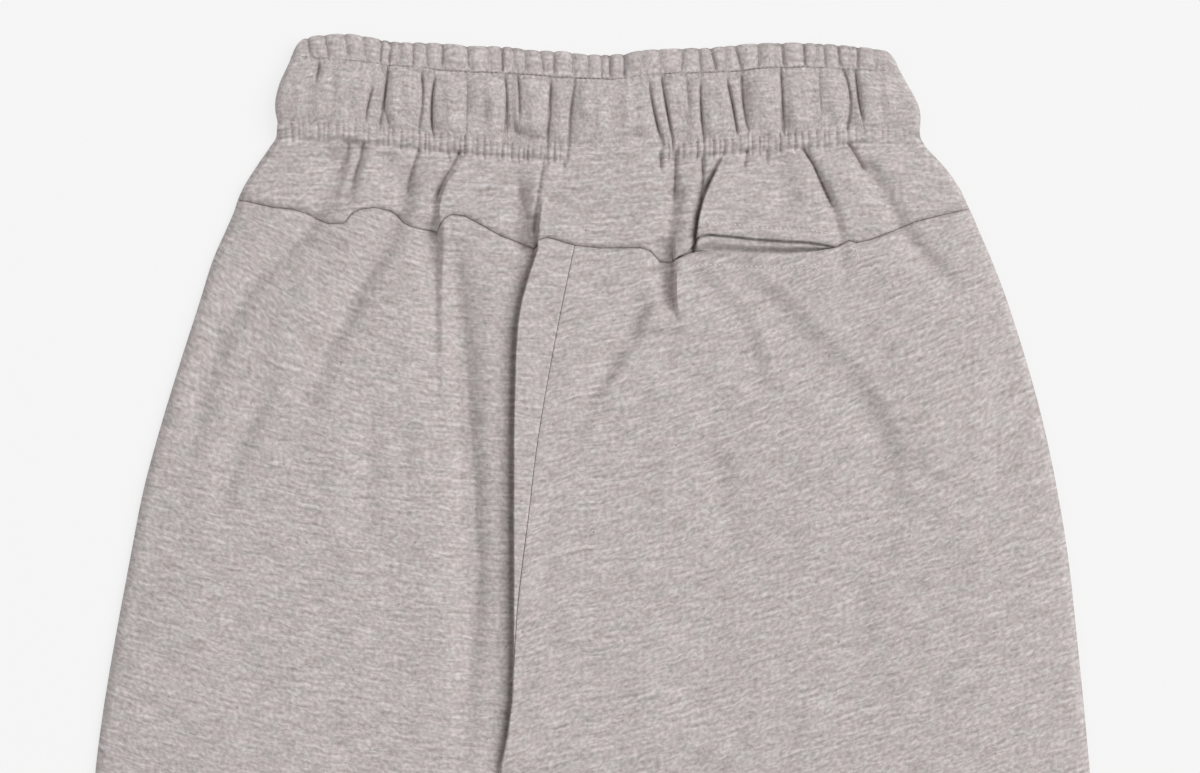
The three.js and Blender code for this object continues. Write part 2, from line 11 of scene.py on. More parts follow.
import bpy
import mathutils
import numpy as np
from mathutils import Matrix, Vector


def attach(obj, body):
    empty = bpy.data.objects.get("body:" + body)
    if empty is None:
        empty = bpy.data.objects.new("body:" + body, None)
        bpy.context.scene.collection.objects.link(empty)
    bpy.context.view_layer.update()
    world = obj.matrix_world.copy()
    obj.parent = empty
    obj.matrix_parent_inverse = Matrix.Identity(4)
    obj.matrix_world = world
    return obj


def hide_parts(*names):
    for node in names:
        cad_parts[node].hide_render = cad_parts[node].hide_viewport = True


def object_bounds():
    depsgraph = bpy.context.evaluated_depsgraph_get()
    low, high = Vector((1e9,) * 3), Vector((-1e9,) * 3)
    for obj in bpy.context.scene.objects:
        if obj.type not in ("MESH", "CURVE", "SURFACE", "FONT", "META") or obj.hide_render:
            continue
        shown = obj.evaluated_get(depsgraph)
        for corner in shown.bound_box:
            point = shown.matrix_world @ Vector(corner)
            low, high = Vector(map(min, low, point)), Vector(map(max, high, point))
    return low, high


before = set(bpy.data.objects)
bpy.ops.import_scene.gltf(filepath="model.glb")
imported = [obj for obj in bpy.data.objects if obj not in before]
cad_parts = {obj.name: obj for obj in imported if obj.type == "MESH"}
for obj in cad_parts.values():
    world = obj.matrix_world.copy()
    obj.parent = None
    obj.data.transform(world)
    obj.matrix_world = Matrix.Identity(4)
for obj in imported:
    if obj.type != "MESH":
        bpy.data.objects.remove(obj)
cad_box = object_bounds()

MM = 0.001
WAIST_Y = cad_box[1].y

# %% [markdown]
# The garment was seen from straight above, close up, with only its top third in view. A long lens a
# good way off keeps the edges from leaning. "Drop" is the distance down the garment, in millimetres,
# from the highest point of the waistband; all the tables below use it.

# %% Camera
VIEW_WIDTH = 0.624
VIEW_CENTRE = (0.00364, WAIST_Y - 0.1817, 0.004)
LENS, SENSOR = 100, 36

lens = bpy.data.cameras.new("overhead")
lens.lens = LENS
lens.sensor_width = SENSOR
lens.clip_end = 20
camera = bpy.data.objects.new("overhead", lens)
camera.location = (VIEW_CENTRE[0], VIEW_CENTRE[1], VIEW_CENTRE[2] + VIEW_WIDTH * LENS / SENSOR)
bpy.context.scene.collection.objects.link(camera)
bpy.context.scene.camera = camera
print("camera height:", round(camera.location.z, 3), "m")

# %% [markdown]
# Two large soft lamps stand on the right and on the left, as for a flat lay in a studio, and the rest of
# the light comes from all round. The right one is five times as strong, which gives each fold a darker
# left side, and both are so broad that the shade beside a fold fades out slowly. The floor is paper that
# glows, like paper on a light table, which keeps the garment's shadow faint.

# %% Light and floor
LAMPS = dict(
    right=dict(towards=(0.62, 0.24, 0.75), power=2500), left=dict(towards=(-0.7, -0.1, 0.7), power=510),
)
LAMP_DISTANCE, LAMP_SIZE = 16, 15
ROOM_LIGHT = 0.33

for side, lamp in LAMPS.items():
    soft = bpy.data.lights.new("lamp_" + side, "AREA")
    soft.shape, soft.size, soft.energy = "DISK", LAMP_SIZE, lamp["power"]
    stand = bpy.data.objects.new("lamp_" + side, soft)
    reach = LAMP_DISTANCE / math.hypot(*lamp["towards"])
    stand.location = [centre + reach * part for centre, part in zip(VIEW_CENTRE, lamp["towards"])]
    stand.rotation_euler = mathutils.Vector(lamp["towards"]).to_track_quat("Z", "Y").to_euler()
    bpy.context.scene.collection.objects.link(stand)
    print(side, "lamp at", [round(part, 2) for part in stand.location])

room = bpy.data.worlds.new("room")
room.use_nodes = True
room.node_tree.nodes["Background"].inputs["Color"].default_value = (1, 0.985, 0.974, 1)
room.node_tree.nodes["Background"].inputs["Strength"].default_value = ROOM_LIGHT
bpy.context.scene.world = room
bpy.context.scene.view_settings.view_transform = "Standard"

bpy.ops.object.select_all(action="DESELECT")
bpy.ops.mesh.primitive_plane_add(size=8, location=(0, 0, -0.0003))
floor = bpy.context.object
floor.name = "floor"
paper = bpy.data.materials.new("paper")
paper.use_nodes = True
paper_shader = paper.node_tree.nodes["Principled BSDF"]
paper_shader.inputs["Base Color"].default_value = (0.12, 0.12, 0.12, 1)
paper_shader.inputs["Roughness"].default_value = 0.9
paper_shader.inputs["Emission Color"].default_value = (1, 1, 1, 1)
paper_shader.inputs["Emission Strength"].default_value = 0.775
floor.data.materials.append(paper)
print("floor:", floor.name, "lit from all round at", ROOM_LIGHT)

# %% [markdown]
# A tape measure gives a garment in a few short tables. Each table here has named columns, and a smooth
# or a straight line runs through its rows. They hold the sizes that the solids were made from, taken a
# little more finely near the waist.

# %% Tables and lines through them


def table(columns, *rows):
    return {name: np.array(column, float) for name, column in zip(columns.split(), zip(*rows))}


def smooth(rows, key, value):
    """A smooth line through a table's points, from the key column to the value column."""
    xs, ys = rows[key], rows[value]
    before, after = np.maximum(np.arange(len(xs)) - 1, 0), np.minimum(np.arange(len(xs)) + 1, len(xs) - 1)
    slope = (ys[after] - ys[before]) / (xs[after] - xs[before])

    def line(at):
        t = np.clip(at, xs[0], xs[-1])
        i = np.clip(np.searchsorted(xs, t), 1, len(xs) - 1)
        span = xs[i] - xs[i - 1]
        s = (t - xs[i - 1]) / span
        low = ys[i - 1] * (2 * s**3 - 3 * s**2 + 1) + span * slope[i - 1] * (s**3 - 2 * s**2 + s)
        return low + ys[i] * (3 * s**2 - 2 * s**3) + span * slope[i] * (s**3 - s**2)

    return line


def straight(rows, key, value):
    return lambda at: np.interp(at, rows[key], rows[value])


def lerp(low, high, share):
    return low + (high - low) * share


def ease(share):
    t = np.clip(share, 0, 1)
    return t * t * (3 - 2 * t)


def bell(distance):
    return np.exp(-(distance**2))


SIDES = table(
    "drop left right",
    (45, -163.6, 169.6), (52, -164.8, 169.8), (57, -168, 173.2), (69, -176.2, 184.2),
    (79.6, -182.8, 191.6), (90, -186, 196.2), (100, -190.4, 200.4), (116, -197.6, 207.4),
    (137, -204.4, 215.4), (173, -216, 226.8), (204, -225.4, 235), (236, -234, 241.6),
    (272, -241, 247.4), (314, -248.8, 252), (350, -254.8, 255.6), (383, -259, 258.6),
    (425, -262, 262), (500, -259, 260), (600, -250, 251), (700, -240, 241), (800, -230, 231),
    (900, -221, 221), (945, -217, 217), (965, -211, 211), (975, -203, 203),
)
INSEAMS = table(
    "drop left right",
    (415, -40, -40), (430, -46, -30), (500, -57, 2), (600, -66, 27), (700, -73, 46), (800, -79, 62),
    (900, -84, 77), (945, -87, 84), (965, -91, 90), (975, -97, 97),
)
CENTRE_BACK = table(
    "drop x",
    (95, -6), (108, -9.4), (160, -20), (210, -28.6), (250, -33.4), (293, -37.6), (335, -40.6),
    (383, -47.6), (400, -46), (415, -40),
)
side_left, side_right = smooth(SIDES, "drop", "left"), smooth(SIDES, "drop", "right")
inseam_left, inseam_right = smooth(INSEAMS, "drop", "left"), smooth(INSEAMS, "drop", "right")
centre_back = smooth(CENTRE_BACK, "drop", "x")
CROTCH_X, CROTCH_DROP, HEM_DROP, LENGTH = -40, 415, 975, 1040
print("the hips are", side_right(425) - side_left(425), "mm across")

# %% [markdown]
# The waistband's seams sag where the elastic pulls, and the yoke's seam is wavy because the cloth under
# it is pleated. The two edges of that seam part from 48 to 126 mm, which is the mouth of the pocket.

# %% Waistband and yoke lines
SAG = table(
    "x drop",
    (-165, -1), (-129, 0.8), (-74, 6), (-48, 8.6), (-9, 11), (32, 10.2), (56, 8.6), (87, 5.4),
    (113, 4.2), (134, 2.2), (152, 2.4), (171, 3.4),
)
HEADER_LINE = table(
    "x drop",
    (-165, 9.8), (-148, 10.8), (-126, 12.6), (-116, 13.4), (-106, 14.9), (-88, 16.2), (-78, 17.6),
    (-56, 18.7), (-34, 19.7), (-20, 21), (-4, 21.8), (14, 22.2), (22, 21), (29, 20), (38, 19.3),
    (56, 18.8), (78, 17.8), (86, 16.6), (111, 16), (135, 17.2), (158, 17.8), (171, 18),
)
FRILL_EDGE = table(
    "x drop",
    (-156.5, 9), (-152, 2.6), (-147, 0.2), (-133, -1.2), (-126, -1.2), (-115, 0.6), (-101, 2.9),
    (-90, 3.2), (-76, 3.8), (-64, 5), (-45, 5.3), (-33, 7), (-14, 7.9), (-6, 9.2), (5, 9.4), (17, 8.9),
    (25, 7.3), (48, 6.2), (61, 5.8), (80, 4), (98, 3.3), (117, 3.7), (136, 5.2), (148, 6.9), (154, 9),
    (160.5, 18),
)
BAND_SIDES = table(
    "down left right",
    (0, -156, 158), (12, -157, 160), (17, -159, 162.4), (25, -162.6, 166.6), (32, -164.6, 169.4),
    (38, -165.2, 170.2), (46.5, -163.8, 169.8),
)
YOKE_SEAM = table(
    "x yoke panel",
    (-185, 84.6, 84.6), (-176, 86.4, 86.4), (-166, 88.8, 88.8), (-157.6, 89.5, 89.5),
    (-149, 91.7, 91.7), (-145, 93.7, 93.7), (-141, 95.7, 95.7), (-136.8, 97.3, 97.3),
    (-129, 97, 97), (-125.3, 92.2, 92.2), (-121, 89.9, 89.9), (-113.4, 88.9, 88.9),
    (-105.6, 90.4, 90.4), (-101.6, 93, 93), (-99, 96, 96), (-95.2, 98.4, 98.4), (-91, 99.7, 99.7),
    (-81, 101.4, 101.4), (-77.6, 94.8, 94.8), (-73.3, 92.6, 92.6), (-66.6, 93.3, 93.3),
    (-58.8, 97.5, 97.5), (-48.4, 103.4, 103.4), (-38, 107.3, 107.3), (-30.4, 110.2, 110.2),
    (-27.4, 106, 106), (-23, 104.6, 104.6), (-17, 106.4, 106.4), (-9.4, 108.6, 108.6),
    (3.6, 110, 110), (24.4, 109.8, 109.8), (29.6, 111.4, 111.4), (34.8, 116.8, 116.8), (41, 117.2, 117.2),
    (48.4, 112.4, 113.4), (52.4, 108.2, 112.2), (54.6, 104.4, 111.8), (59.3, 102.7, 111.4),
    (72.3, 103.8, 111.8), (84.2, 105.2, 112.3), (98.3, 106.1, 112.8), (112.8, 106.9, 111.8),
    (120, 108.2, 110.8), (125.8, 109.4, 109.5), (132.6, 106, 106), (136.8, 107.1, 107.1),
    (144, 105.6, 105.6), (155.5, 101.1, 101.1), (167.4, 96.2, 96.2), (179.4, 93.1, 93.1),
    (196, 89.2, 89.2),
)
YOKE_LEAN = table(
    "seam band",
    (-185, -163.8), (-128, -115), (-95, -87), (-81, -65.5), (-30.4, -34), (41, 43), (52.4, 66),
    (129, 107), (196, 169.2),
)
HEADER, BAND_HEIGHT, SHIRRING = 11.5, 46.5, 7.3
FLAT_FROM, FLAT_TO = -13, 33
POCKET_ABOVE, POCKET_BELOW, POCKET_FROM, POCKET_TO = 6, 7.3, 46, 136

sag, frill_edge = smooth(SAG, "x", "drop"), smooth(FRILL_EDGE, "x", "drop")
header_line = smooth(HEADER_LINE, "x", "drop")
band_left, band_right = smooth(BAND_SIDES, "down", "left"), smooth(BAND_SIDES, "down", "right")
yoke_edge, panel_edge = straight(YOKE_SEAM, "x", "yoke"), straight(YOKE_SEAM, "x", "panel")


def mouth(x):
    """How far the pocket's mouth is open at x, from 0 to 1."""
    return ease((panel_edge(x) - yoke_edge(x)) / 3)


print("pocket mouth:", round(float(panel_edge(84) - yoke_edge(84)), 1), "mm open")

# %% [markdown]
# Folds decide how cloth looks. A soft valley is a bell curve across its line. A gathered crease is
# sharper: its flanks meet in a V. Where cloth doubles over itself, the left side sinks softly and the
# right side stands up as a roll, which then dies away. Each fold fades in over its head and out over
# its tail, which are shares of its length.

# %% Kinds of fold


def valley(depth, width, *path, head=0.06, tail=0.3, **more):
    return dict(depth=depth, width=width, path=path, head=head, tail=tail, **more)


def crease(depth, width, *path):
    return valley(depth, width, *path, sharp=True)


def roll(depth, width, *path, rise, steep, reach, crisp=0, core=2.2, over=0, **more):
    """A valley with a steep wall on its right, up to a roll that leans over it. A crisp share of the valley
    is only as wide as its core."""
    shape = dict(rise=rise, steep=steep, reach=reach, crisp=crisp, core=core, over=over)
    return valley(depth, width, *path, **shape, **more)


print("a plain valley:", valley(2, 7, (0, 100), (0, 200)))

# %% [markdown]
# Each fold has its depth and width in millimetres and a few points. About half of them
# start at the gathers under the waistband; the rest lie lower, over the seat and the legs.

# %% The folds of the back
ROLL_PATH = [
    (-27.4, 84), (-28, 98), (-28.8, 111), (-33.2, 124), (-36.6, 136), (-38.8, 148), (-40, 166),
    (-40.6, 189), (-41, 210), (-41, 320), (-41.8, 343), (-44.2, 362), (-49, 383), (-51, 402),
]
FOLDS = [
    # Left hip, from the waistband down to the side.
    valley(
        6.8, 6.8, (-132, 54), (-136, 66), (-140, 78), (-144, 90), (-155, 102), (-180, 128), (-199, 167),
        (-211, 213), (-217, 262), head=0.12, tail=0.3,
    ),
    valley(3.6, 6.4, (-160, 163), (-178, 198), (-190, 229), (-197, 254), head=0.35),
    valley(2.4, 11, (-136, 92), (-154, 116), (-170, 142), (-180, 166), head=0.2),
    valley(2.4, 7, (-116, 190), (-118, 220), (-118, 244), (-116, 276)),
    valley(1.1, 5, (-98, 206), (-97, 250)),
    # Left half of the yoke.
    crease(2.6, 1.6, (-126.6, 55), (-128, 61), (-129.8, 67)),
    valley(3.6, 4.6, (-127, 52), (-131, 72), (-137, 94)),
    crease(3.2, 1.6, (-119, 54), (-121, 64), (-123.4, 72), (-126, 81)),
    valley(3, 3.6, (-119.6, 56), (-122.4, 66), (-126, 78), (-129, 92)),
    crease(3.6, 1.8, (-90, 58), (-93.4, 68), (-95.8, 77), (-96.6, 86)),
    valley(
        5.8, 6.6, (-96, 60), (-98, 76), (-101, 90), (-105, 101), (-123, 132), (-139, 163), (-148, 190),
        (-157, 222), head=0.2, tail=0.45,
    ),
    valley(2, 5, (-107, 60), (-109, 76), (-113, 92)),
    crease(2, 1.4, (-75.4, 60), (-73.8, 68)),
    # The pleat beside the roll, in the yoke and then in the panel.
    crease(3.6, 1.1, (-69, 59), (-72.2, 66), (-77.4, 74), (-80.8, 82), (-82, 88)),
    roll(
        3, 4.6, (-67.4, 60), (-71.2, 67.4), (-76.6, 74.4), (-80, 81), (-81.4, 88), (-82, 100),
        (-81.6, 108), rise=1.6, steep=2.4, reach=20, head=0.6, tail=0.1, crisp=0.2, core=1.6,
    ),
    roll(
        5.2, 8, (-81.4, 92), (-82, 104), (-82.4, 125), (-82.2, 155), (-81.6, 190), (-79, 290), rise=1.8,
        steep=5.2, reach=26, head=0.12, tail=0.85,
    ),
    # The long valley between that pleat and the roll.
    valley(
        3.6, 13, (-66, 98), (-65, 150), (-65.4, 205), (-63.4, 260), (-62, 330), (-66, 400), tail=0.4,
        head=0.25,
    ),
    valley(
        4.6, 6.4, (-73, 98), (-72.4, 124), (-70.4, 150), (-68, 190), (-66, 215), (-63.6, 262),
        (-63, 285), (-65, 332), (-68.5, 380), (-72, 430), tail=0.3, head=0.15,
    ),
    valley(-0.8, 6, (-54, 150), (-53, 240), (-53, 330)),
    # The roll along the centre seam.
    valley(3.6, 5, (-37, 57), (-36.6, 73), (-36, 86), (-35, 98), (-34, 114), tail=0.1, head=0.4),
    valley(5, 2.8, (-41, 58), (-39.8, 74), (-38, 87), (-37.2, 98), (-36.6, 112), tail=0.1, head=0.5),
    crease(2.2, 1.2, (-24.4, 58), (-27, 73), (-28.6, 82), (-30, 98), (-30.4, 106)),
    roll(
        5.6, 12.5, *ROLL_PATH, rise=4.4, steep=1.8, reach=40, head=0.08, tail=0.16, over=1.3, crisp=0.35,
    ),
    crease(2.4, 1.8, (-14.4, 60), (-15.6, 71)),
    # The crease right of the centre, and the folds that hang from its foot.
    crease(3, 1.6, (34.6, 56), (35.2, 72)),
    crease(4, 1.8, (43, 58), (42.6, 70), (42.4, 80), (41.8, 87)),
    valley(6, 5, (42, 70), (41.4, 84), (39.8, 96), (38.6, 109), (38.4, 124), tail=0.1, head=0.3),
    roll(
        6.4, 9, (40.6, 104), (41.4, 118), (41.8, 130), (42, 141), (43.6, 152), rise=2.2, steep=2.6,
        reach=10, over=0.9, tail=0.45, crisp=0.35, core=4.6,
    ),
    valley(2.8, 4, (36.4, 108), (37, 120), (37.4, 133), (38.4, 147), head=0.2, tail=0.4),
    roll(
        4.4, 9, (32, 130), (24.6, 141), (17.4, 156), (10, 168), (2, 181), (-6, 196), (-12, 214),
        rise=1.4, steep=8, reach=26, head=0.16, tail=0.5,
    ),
    valley(3.6, 3.6, (16, 161), (34, 156.6), (50, 152), head=0.2),
    # The cloth over and beside the pocket.
    crease(3, 2.2, (80, 59), (78, 70)),
    crease(2.2, 1.8, (90, 59), (90, 67)),
    crease(4, 1.6, (56.4, 62), (57, 72), (56.8, 80), (56, 86)),
    roll(
        7.4, 3.2, (69, 57), (64.8, 66.7), (60.4, 76.6), (57.4, 84), (54.8, 94), (53.6, 104),
        (52.2, 113), rise=3.4, steep=1.2, reach=26, head=0.4, tail=0.05, over=0.7, crisp=0.6, core=1.2,
    ),
    crease(5, 1.8, (108, 57), (114.4, 66.6), (118.8, 76), (122.6, 84), (126, 92)),
    valley(
        3.6, 3.2, (112, 63), (117.4, 75), (121.4, 83.5), (125, 92), (128, 106), (129, 128), (124, 150),
        head=0.3, tail=0.6,
    ),
    crease(4, 1.8, (131.6, 54), (138.4, 65), (142, 71)),
    # Right hip and seat, and the middle of the yoke.
    valley(
        4.6, 5.4, (136, 62), (141, 68.5), (150, 81), (157, 94.7), (164, 107), (184, 128), (205, 148),
        head=0.2, tail=0.3,
    ),
    valley(1.8, 6, (96, 62), (98, 78), (104, 92)),
    roll(
        2.1, 12, (70, 120), (85, 133), (99, 146), (112, 159), (125, 171), (136, 185), (146, 201),
        (154, 224), (160, 256), rise=1.3, steep=12, reach=40, tail=0.2,
    ),
    roll(
        1.8, 8, (48, 121), (58, 129), (70, 140), (80, 156), (86, 178), (88, 196), rise=0.8, steep=9,
        reach=20,
    ),
    valley(1.4, 6, (56, 206), (66, 232), (70, 256), (70, 276)),
    valley(1, 5, (162, 224), (190, 236), (210, 246)),
    valley(2.4, 4.4, (-26, 86), (-5, 93), (15, 95), (34, 92)),
    # Faint waves of the left hip and the legs.
    valley(0.9, 10, (-180, 250), (-160, 300), (-120, 330)),
    valley(1.6, 16, (-216, 590), (-170, 625), (-110, 640)),
    valley(1.6, 16, (232, 600), (180, 640), (90, 650)),
    valley(1.1, 8, (-240, 640), (-205, 655), (-165, 650)),
    valley(1.1, 8, (238, 660), (200, 678), (150, 672)),
    valley(1.4, 13, (-190, 760), (-150, 800), (-105, 810)),
    valley(1.4, 13, (205, 770), (160, 805), (95, 820)),
    valley(1.2, 10, (-200, 870), (-160, 890), (-110, 880)),
    valley(1.2, 10, (212, 880), (170, 905), (110, 890)),
]
print(len(FOLDS), "folds on the back")

# %% [markdown]
# A fold's height at a point depends on how far the point lies across its line and how far down. The big
# rolls also lean over the valley beside them, which hides its bottom in shade.

# %% Height of a fold
HALF_PI = math.pi / 2
CREASE_FLOOR = 0.9
LEAN_SHARE, LEAN_WIDTH = 0.8, 7


def nearest(path, x, drop):
    """Distance across a fold's line, positive on its right, and the share of its length reached."""
    best, along = np.full(x.shape, np.inf), np.zeros(x.shape)
    for i, ((x0, d0), (x1, d1)) in enumerate(zip(path, path[1:])):
        dx, dd = x1 - x0, d1 - d0
        t = np.clip(((x - x0) * dx + (drop - d0) * dd) / (dx * dx + dd * dd), 0, 1)
        across, down = x - x0 - t * dx, drop - d0 - t * dd
        distance = np.hypot(across, down) * np.where(across * dd - down * dx >= 0, 1, -1)
        closer = np.abs(distance) < np.abs(best)
        best, along = np.where(closer, distance, best), np.where(closer, (i + t) / (len(path) - 1), along)
    return best, along


def strength(fold, along):
    return ease(along / fold["head"]) * ease((1 - along) / fold["tail"])


def fold_height(fold, x, drop):
    distance, along = nearest(fold["path"], x, drop)
    fade = strength(fold, along)
    depth, width, off = fold["depth"], fold["width"], np.abs(distance)
    if fold.get("sharp"):
        return -fade * depth * (0.5 * bell(off / CREASE_FLOOR) + 0.5 * np.exp(-off / width))
    if "rise" not in fold:
        return -fade * depth * bell(distance / width)
    crisp = fold["crisp"]
    sunk = -depth * (crisp * bell(distance / fold["core"]) + (1 - crisp) * bell(distance / width))
    beyond = np.maximum(distance - fold["steep"], 0)
    raised = lerp(-depth, fold["rise"], ease(distance / fold["steep"])) * np.exp(-beyond / fold["reach"])
    return fade * np.where(distance > 0, raised, sunk)


def overhang(x, drop):
    """How far the tops of the rolls lean over the valleys on their left."""
    lean = np.zeros(x.shape)
    for fold in FOLDS:
        if fold.get("over"):
            distance, along = nearest(fold["path"], x, drop)
            top = ease(distance / (LEAN_SHARE * fold["steep"]))
            top = top * ease(1 - (distance - fold["steep"]) / LEAN_WIDTH)
            lean = lean + fold["over"] * strength(fold, along) * top
    return lean


most = overhang(np.linspace(-60, 0, 200), np.full(200, 200.0)).max()
print("the big roll leans over by up to", round(float(most), 1), "mm")

# %% [markdown]
# Between the folds no cloth is quite even. A few faint waves in odd directions, always the same ones,
# keep the panels from looking like card. The air under the back is deepest away from its edges.

# %% The lay of the back
CLOTH, GAP, LOFT, LEG_LOFT = 1.8, 0.3, 7, 5.6
EDGE_ROLL, EDGE_RISE, ROLL_SHARE = 4, 60, 0.3
SEAM_SHOWN, SEAM_DIP, SEAM_WIDTH = 0.1, 2.1, 0.9
WAVES = np.random.default_rng(7).uniform((0, 24, 0), (math.tau, 90, math.tau), (16, 3))
WAVE_HEIGHT = 0.15
LEGS_FROM, LEGS_OVER = 380, 200
YOKE_AIR = dict(height=0.6, drop=72, spread=16)
HEM_GATHERS = dict(height=1.2, drop=955, spread=16, spacing=13)
EDGE_ROUND, EDGE_WIDTH = 1.0, 1.2
STITCH_DENT, STITCH_WIDTH = 0.4, 0.8


def unevenness(x, drop):
    height = np.zeros(x.shape)
    for angle, length, phase in WAVES:
        height += np.sin(math.tau * (x * math.cos(angle) + drop * math.sin(angle)) / length + phase)
    return WAVE_HEIGHT * height


def to_edge(x, drop):
    edge = np.minimum(x - side_left(drop), side_right(drop) - x)
    legs = np.where(x < CROTCH_X, inseam_left(drop) - x, x - inseam_right(drop))
    above = np.hypot(x - CROTCH_X, 2 * (CROTCH_DROP - drop))
    legs = np.where(drop > CROTCH_DROP, np.abs(legs), above)
    return np.maximum(np.minimum(edge, legs), 0)


def loft(x, drop):
    """Air between the front and the back of the garment, in millimetres."""
    edge = to_edge(x, drop)
    rise = lerp(np.sin(HALF_PI * np.minimum(edge / EDGE_RISE, 1)), ease(edge / EDGE_ROLL), ROLL_SHARE)
    yoke, hem = YOKE_AIR, HEM_GATHERS
    gathers = 1 + np.cos(math.tau * x / hem["spacing"] + 1.5 * np.sin(x / 17))
    height = lerp(LOFT, LEG_LOFT, ease((drop - LEGS_FROM) / LEGS_OVER))
    height = height + yoke["height"] * bell((drop - yoke["drop"]) / yoke["spread"])
    height = height + hem["height"] * bell((drop - hem["drop"]) / hem["spread"]) * gathers
    height = height + unevenness(x, drop)
    for fold in FOLDS:
        height = height + fold_height(fold, x, drop)
    return np.maximum(height * rise, 0)


def rounded_edge(x, drop):
    """How far the outside of the cloth sinks where it turns over the garment's edge."""
    return EDGE_ROUND * np.exp(-to_edge(x, drop) / EDGE_WIDTH)


def stitch_dent(distance):
    return STITCH_DENT * bell(distance / STITCH_WIDTH)


print("air under the seat:", round(float(loft(np.array([90.0]), np.array([300.0]))[0]), 1), "mm")

# %% [markdown]
# A cut piece starts as a grid, extruded by one unit into a thin slab. Its width and height are then the
# shares across and down the piece, and its two faces are the outside and the inside of the cloth. A
# waistband or a cuff is the same slab without its two ends, rolled up until they meet.

# %% Slabs of cloth


def crowd(share, low, high, lines, pull, width=1.2):
    """Columns from low to high that stand close together at the given lines."""
    spots = np.linspace(low, high, 3000)
    density = np.ones(spots.size)
    for line in lines:
        density += pull * bell((spots - line) / width)
    reached = np.concatenate([[0], np.cumsum(density[1:] + density[:-1])])
    return np.interp(share, reached / reached[-1], spots)


def slab(name, across, down, tube=False):
    bpy.ops.object.select_all(action="DESELECT")
    bpy.ops.mesh.primitive_grid_add(x_subdivisions=across, y_subdivisions=down, size=1)
    piece = bpy.context.object
    piece.name = name
    bpy.ops.object.mode_set(mode="EDIT")
    bpy.ops.mesh.select_all(action="SELECT")
    bpy.ops.mesh.extrude_region_move(TRANSFORM_OT_translate={"value": (0, 0, 1)})
    bpy.ops.mesh.select_all(action="SELECT")
    bpy.ops.mesh.normals_make_consistent(inside=False)
    bpy.ops.mesh.select_all(action="DESELECT")
    bpy.ops.object.mode_set(mode="OBJECT")
    if tube:
        for face in piece.data.polygons:
            face.select = abs(face.normal.x) > 0.5
        bpy.ops.object.mode_set(mode="EDIT")
        bpy.ops.mesh.delete(type="FACE")
        bpy.ops.object.mode_set(mode="OBJECT")
    return piece


def lay(piece, shape, grain):
    """Moves each point of a slab to its place. shape gives x, drop and the heights of the outside and the
    inside; grain gives the cloth's own coordinates, along its courses and across them."""
    mesh = piece.data
    flat = np.empty(len(mesh.vertices) * 3)
    mesh.vertices.foreach_get("co", flat)
    flat = flat.reshape(-1, 3)
    across, down, is_outside = flat[:, 0] + 0.5, 0.5 - flat[:, 1], flat[:, 2] > 0.5
    x, drop, outside, inside, x_inside = shape(across, down)
    place = np.column_stack([
        np.where(is_outside, x, x_inside) * MM,
        WAIST_Y - drop * MM,
        np.where(is_outside, outside, inside) * MM,
    ])
    along, wale = grain(across, down, x, drop)
    cloth = np.column_stack([along, wale]) * MM
    corners = np.empty(len(mesh.loops), int)
    mesh.loops.foreach_get("vertex_index", corners)
    mesh.uv_layers[0].name = "cloth"
    mesh.uv_layers["cloth"].data.foreach_set("uv", cloth[corners].ravel())
    mesh.vertices.foreach_set("co", place.ravel())
    mesh.update()
    bpy.ops.object.select_all(action="DESELECT")
    piece.select_set(True)
    bpy.context.view_layer.objects.active = piece
    bpy.ops.object.mode_set(mode="EDIT")
    bpy.ops.mesh.select_all(action="SELECT")
    bpy.ops.mesh.remove_doubles(threshold=1e-6)
    bpy.ops.mesh.normals_make_consistent(inside=False)
    bpy.ops.object.mode_set(mode="OBJECT")
    bpy.ops.object.shade_smooth_by_angle(angle=math.radians(75))
    print(piece.name, "has", len(mesh.polygons), "faces")


# %% [markdown]
# The garment is knitted from melange yarn: pale and dark fibres spun together, which lie along the rows
# of stitches as short streaks. A picture of cloth would repeat, so the streaks are noise, drawn out
# along the rows. Building its nodes by hand means many small steps, so two helpers come first.

# %% Helpers for nodes


def fill(tree, node, inputs):
    """Gives each named input of a node a value, or links it to the output of another node."""
    for socket, value in inputs.items():
        if isinstance(value, bpy.types.NodeSocket):
            tree.links.new(value, node.inputs[socket])
        else:
            node.inputs[socket].default_value = value
    return node


def add_node(tree, kind, inputs, **settings):
    node = tree.nodes.new(kind)
    for name, value in settings.items():
        setattr(node, name, value)
    return fill(tree, node, inputs)


print("helpers for nodes:", fill.__name__, "and", add_node.__name__)

# %% [markdown]
# The melange is one group that the fleece, the ribs and the thread share, each with its own tones. Short
# fibres and longer yarns are mixed, with a few specks and a slight change from cool to warm. The group
# also gives the height of the knitted loops for a bump.

# %% Melange yarn
FIBRE, YARN, CLOUD, TINT = (0.0023, 0.0018), (0.0125, 0.0018), (0.03, 0.012), (0.009, 0.006)
YARN_SHARE, CLOUD_SHARE, TINT_GAIN = 0.85, 0.14, 2.2
WANDER, WANDER_SCALE = 0.0026, 90
SPECKS_PER_METRE, SPECK_SIZE, SPECK_SHARE = 26, 0.018, 0.7
LOOP_WIDTH, LOOP_HEIGHT, LOOP_SHARE = 0.0011, 0.0009, 0.25
COOL_TINT, WARM_TINT = (0.984, 1.006, 1.004, 1), (1.013, 0.994, 0.997, 1)
MELANGE_INPUTS = dict(Cloth="Vector", Light="Color", Middle="Color", Dark="Color", Contrast="Float")


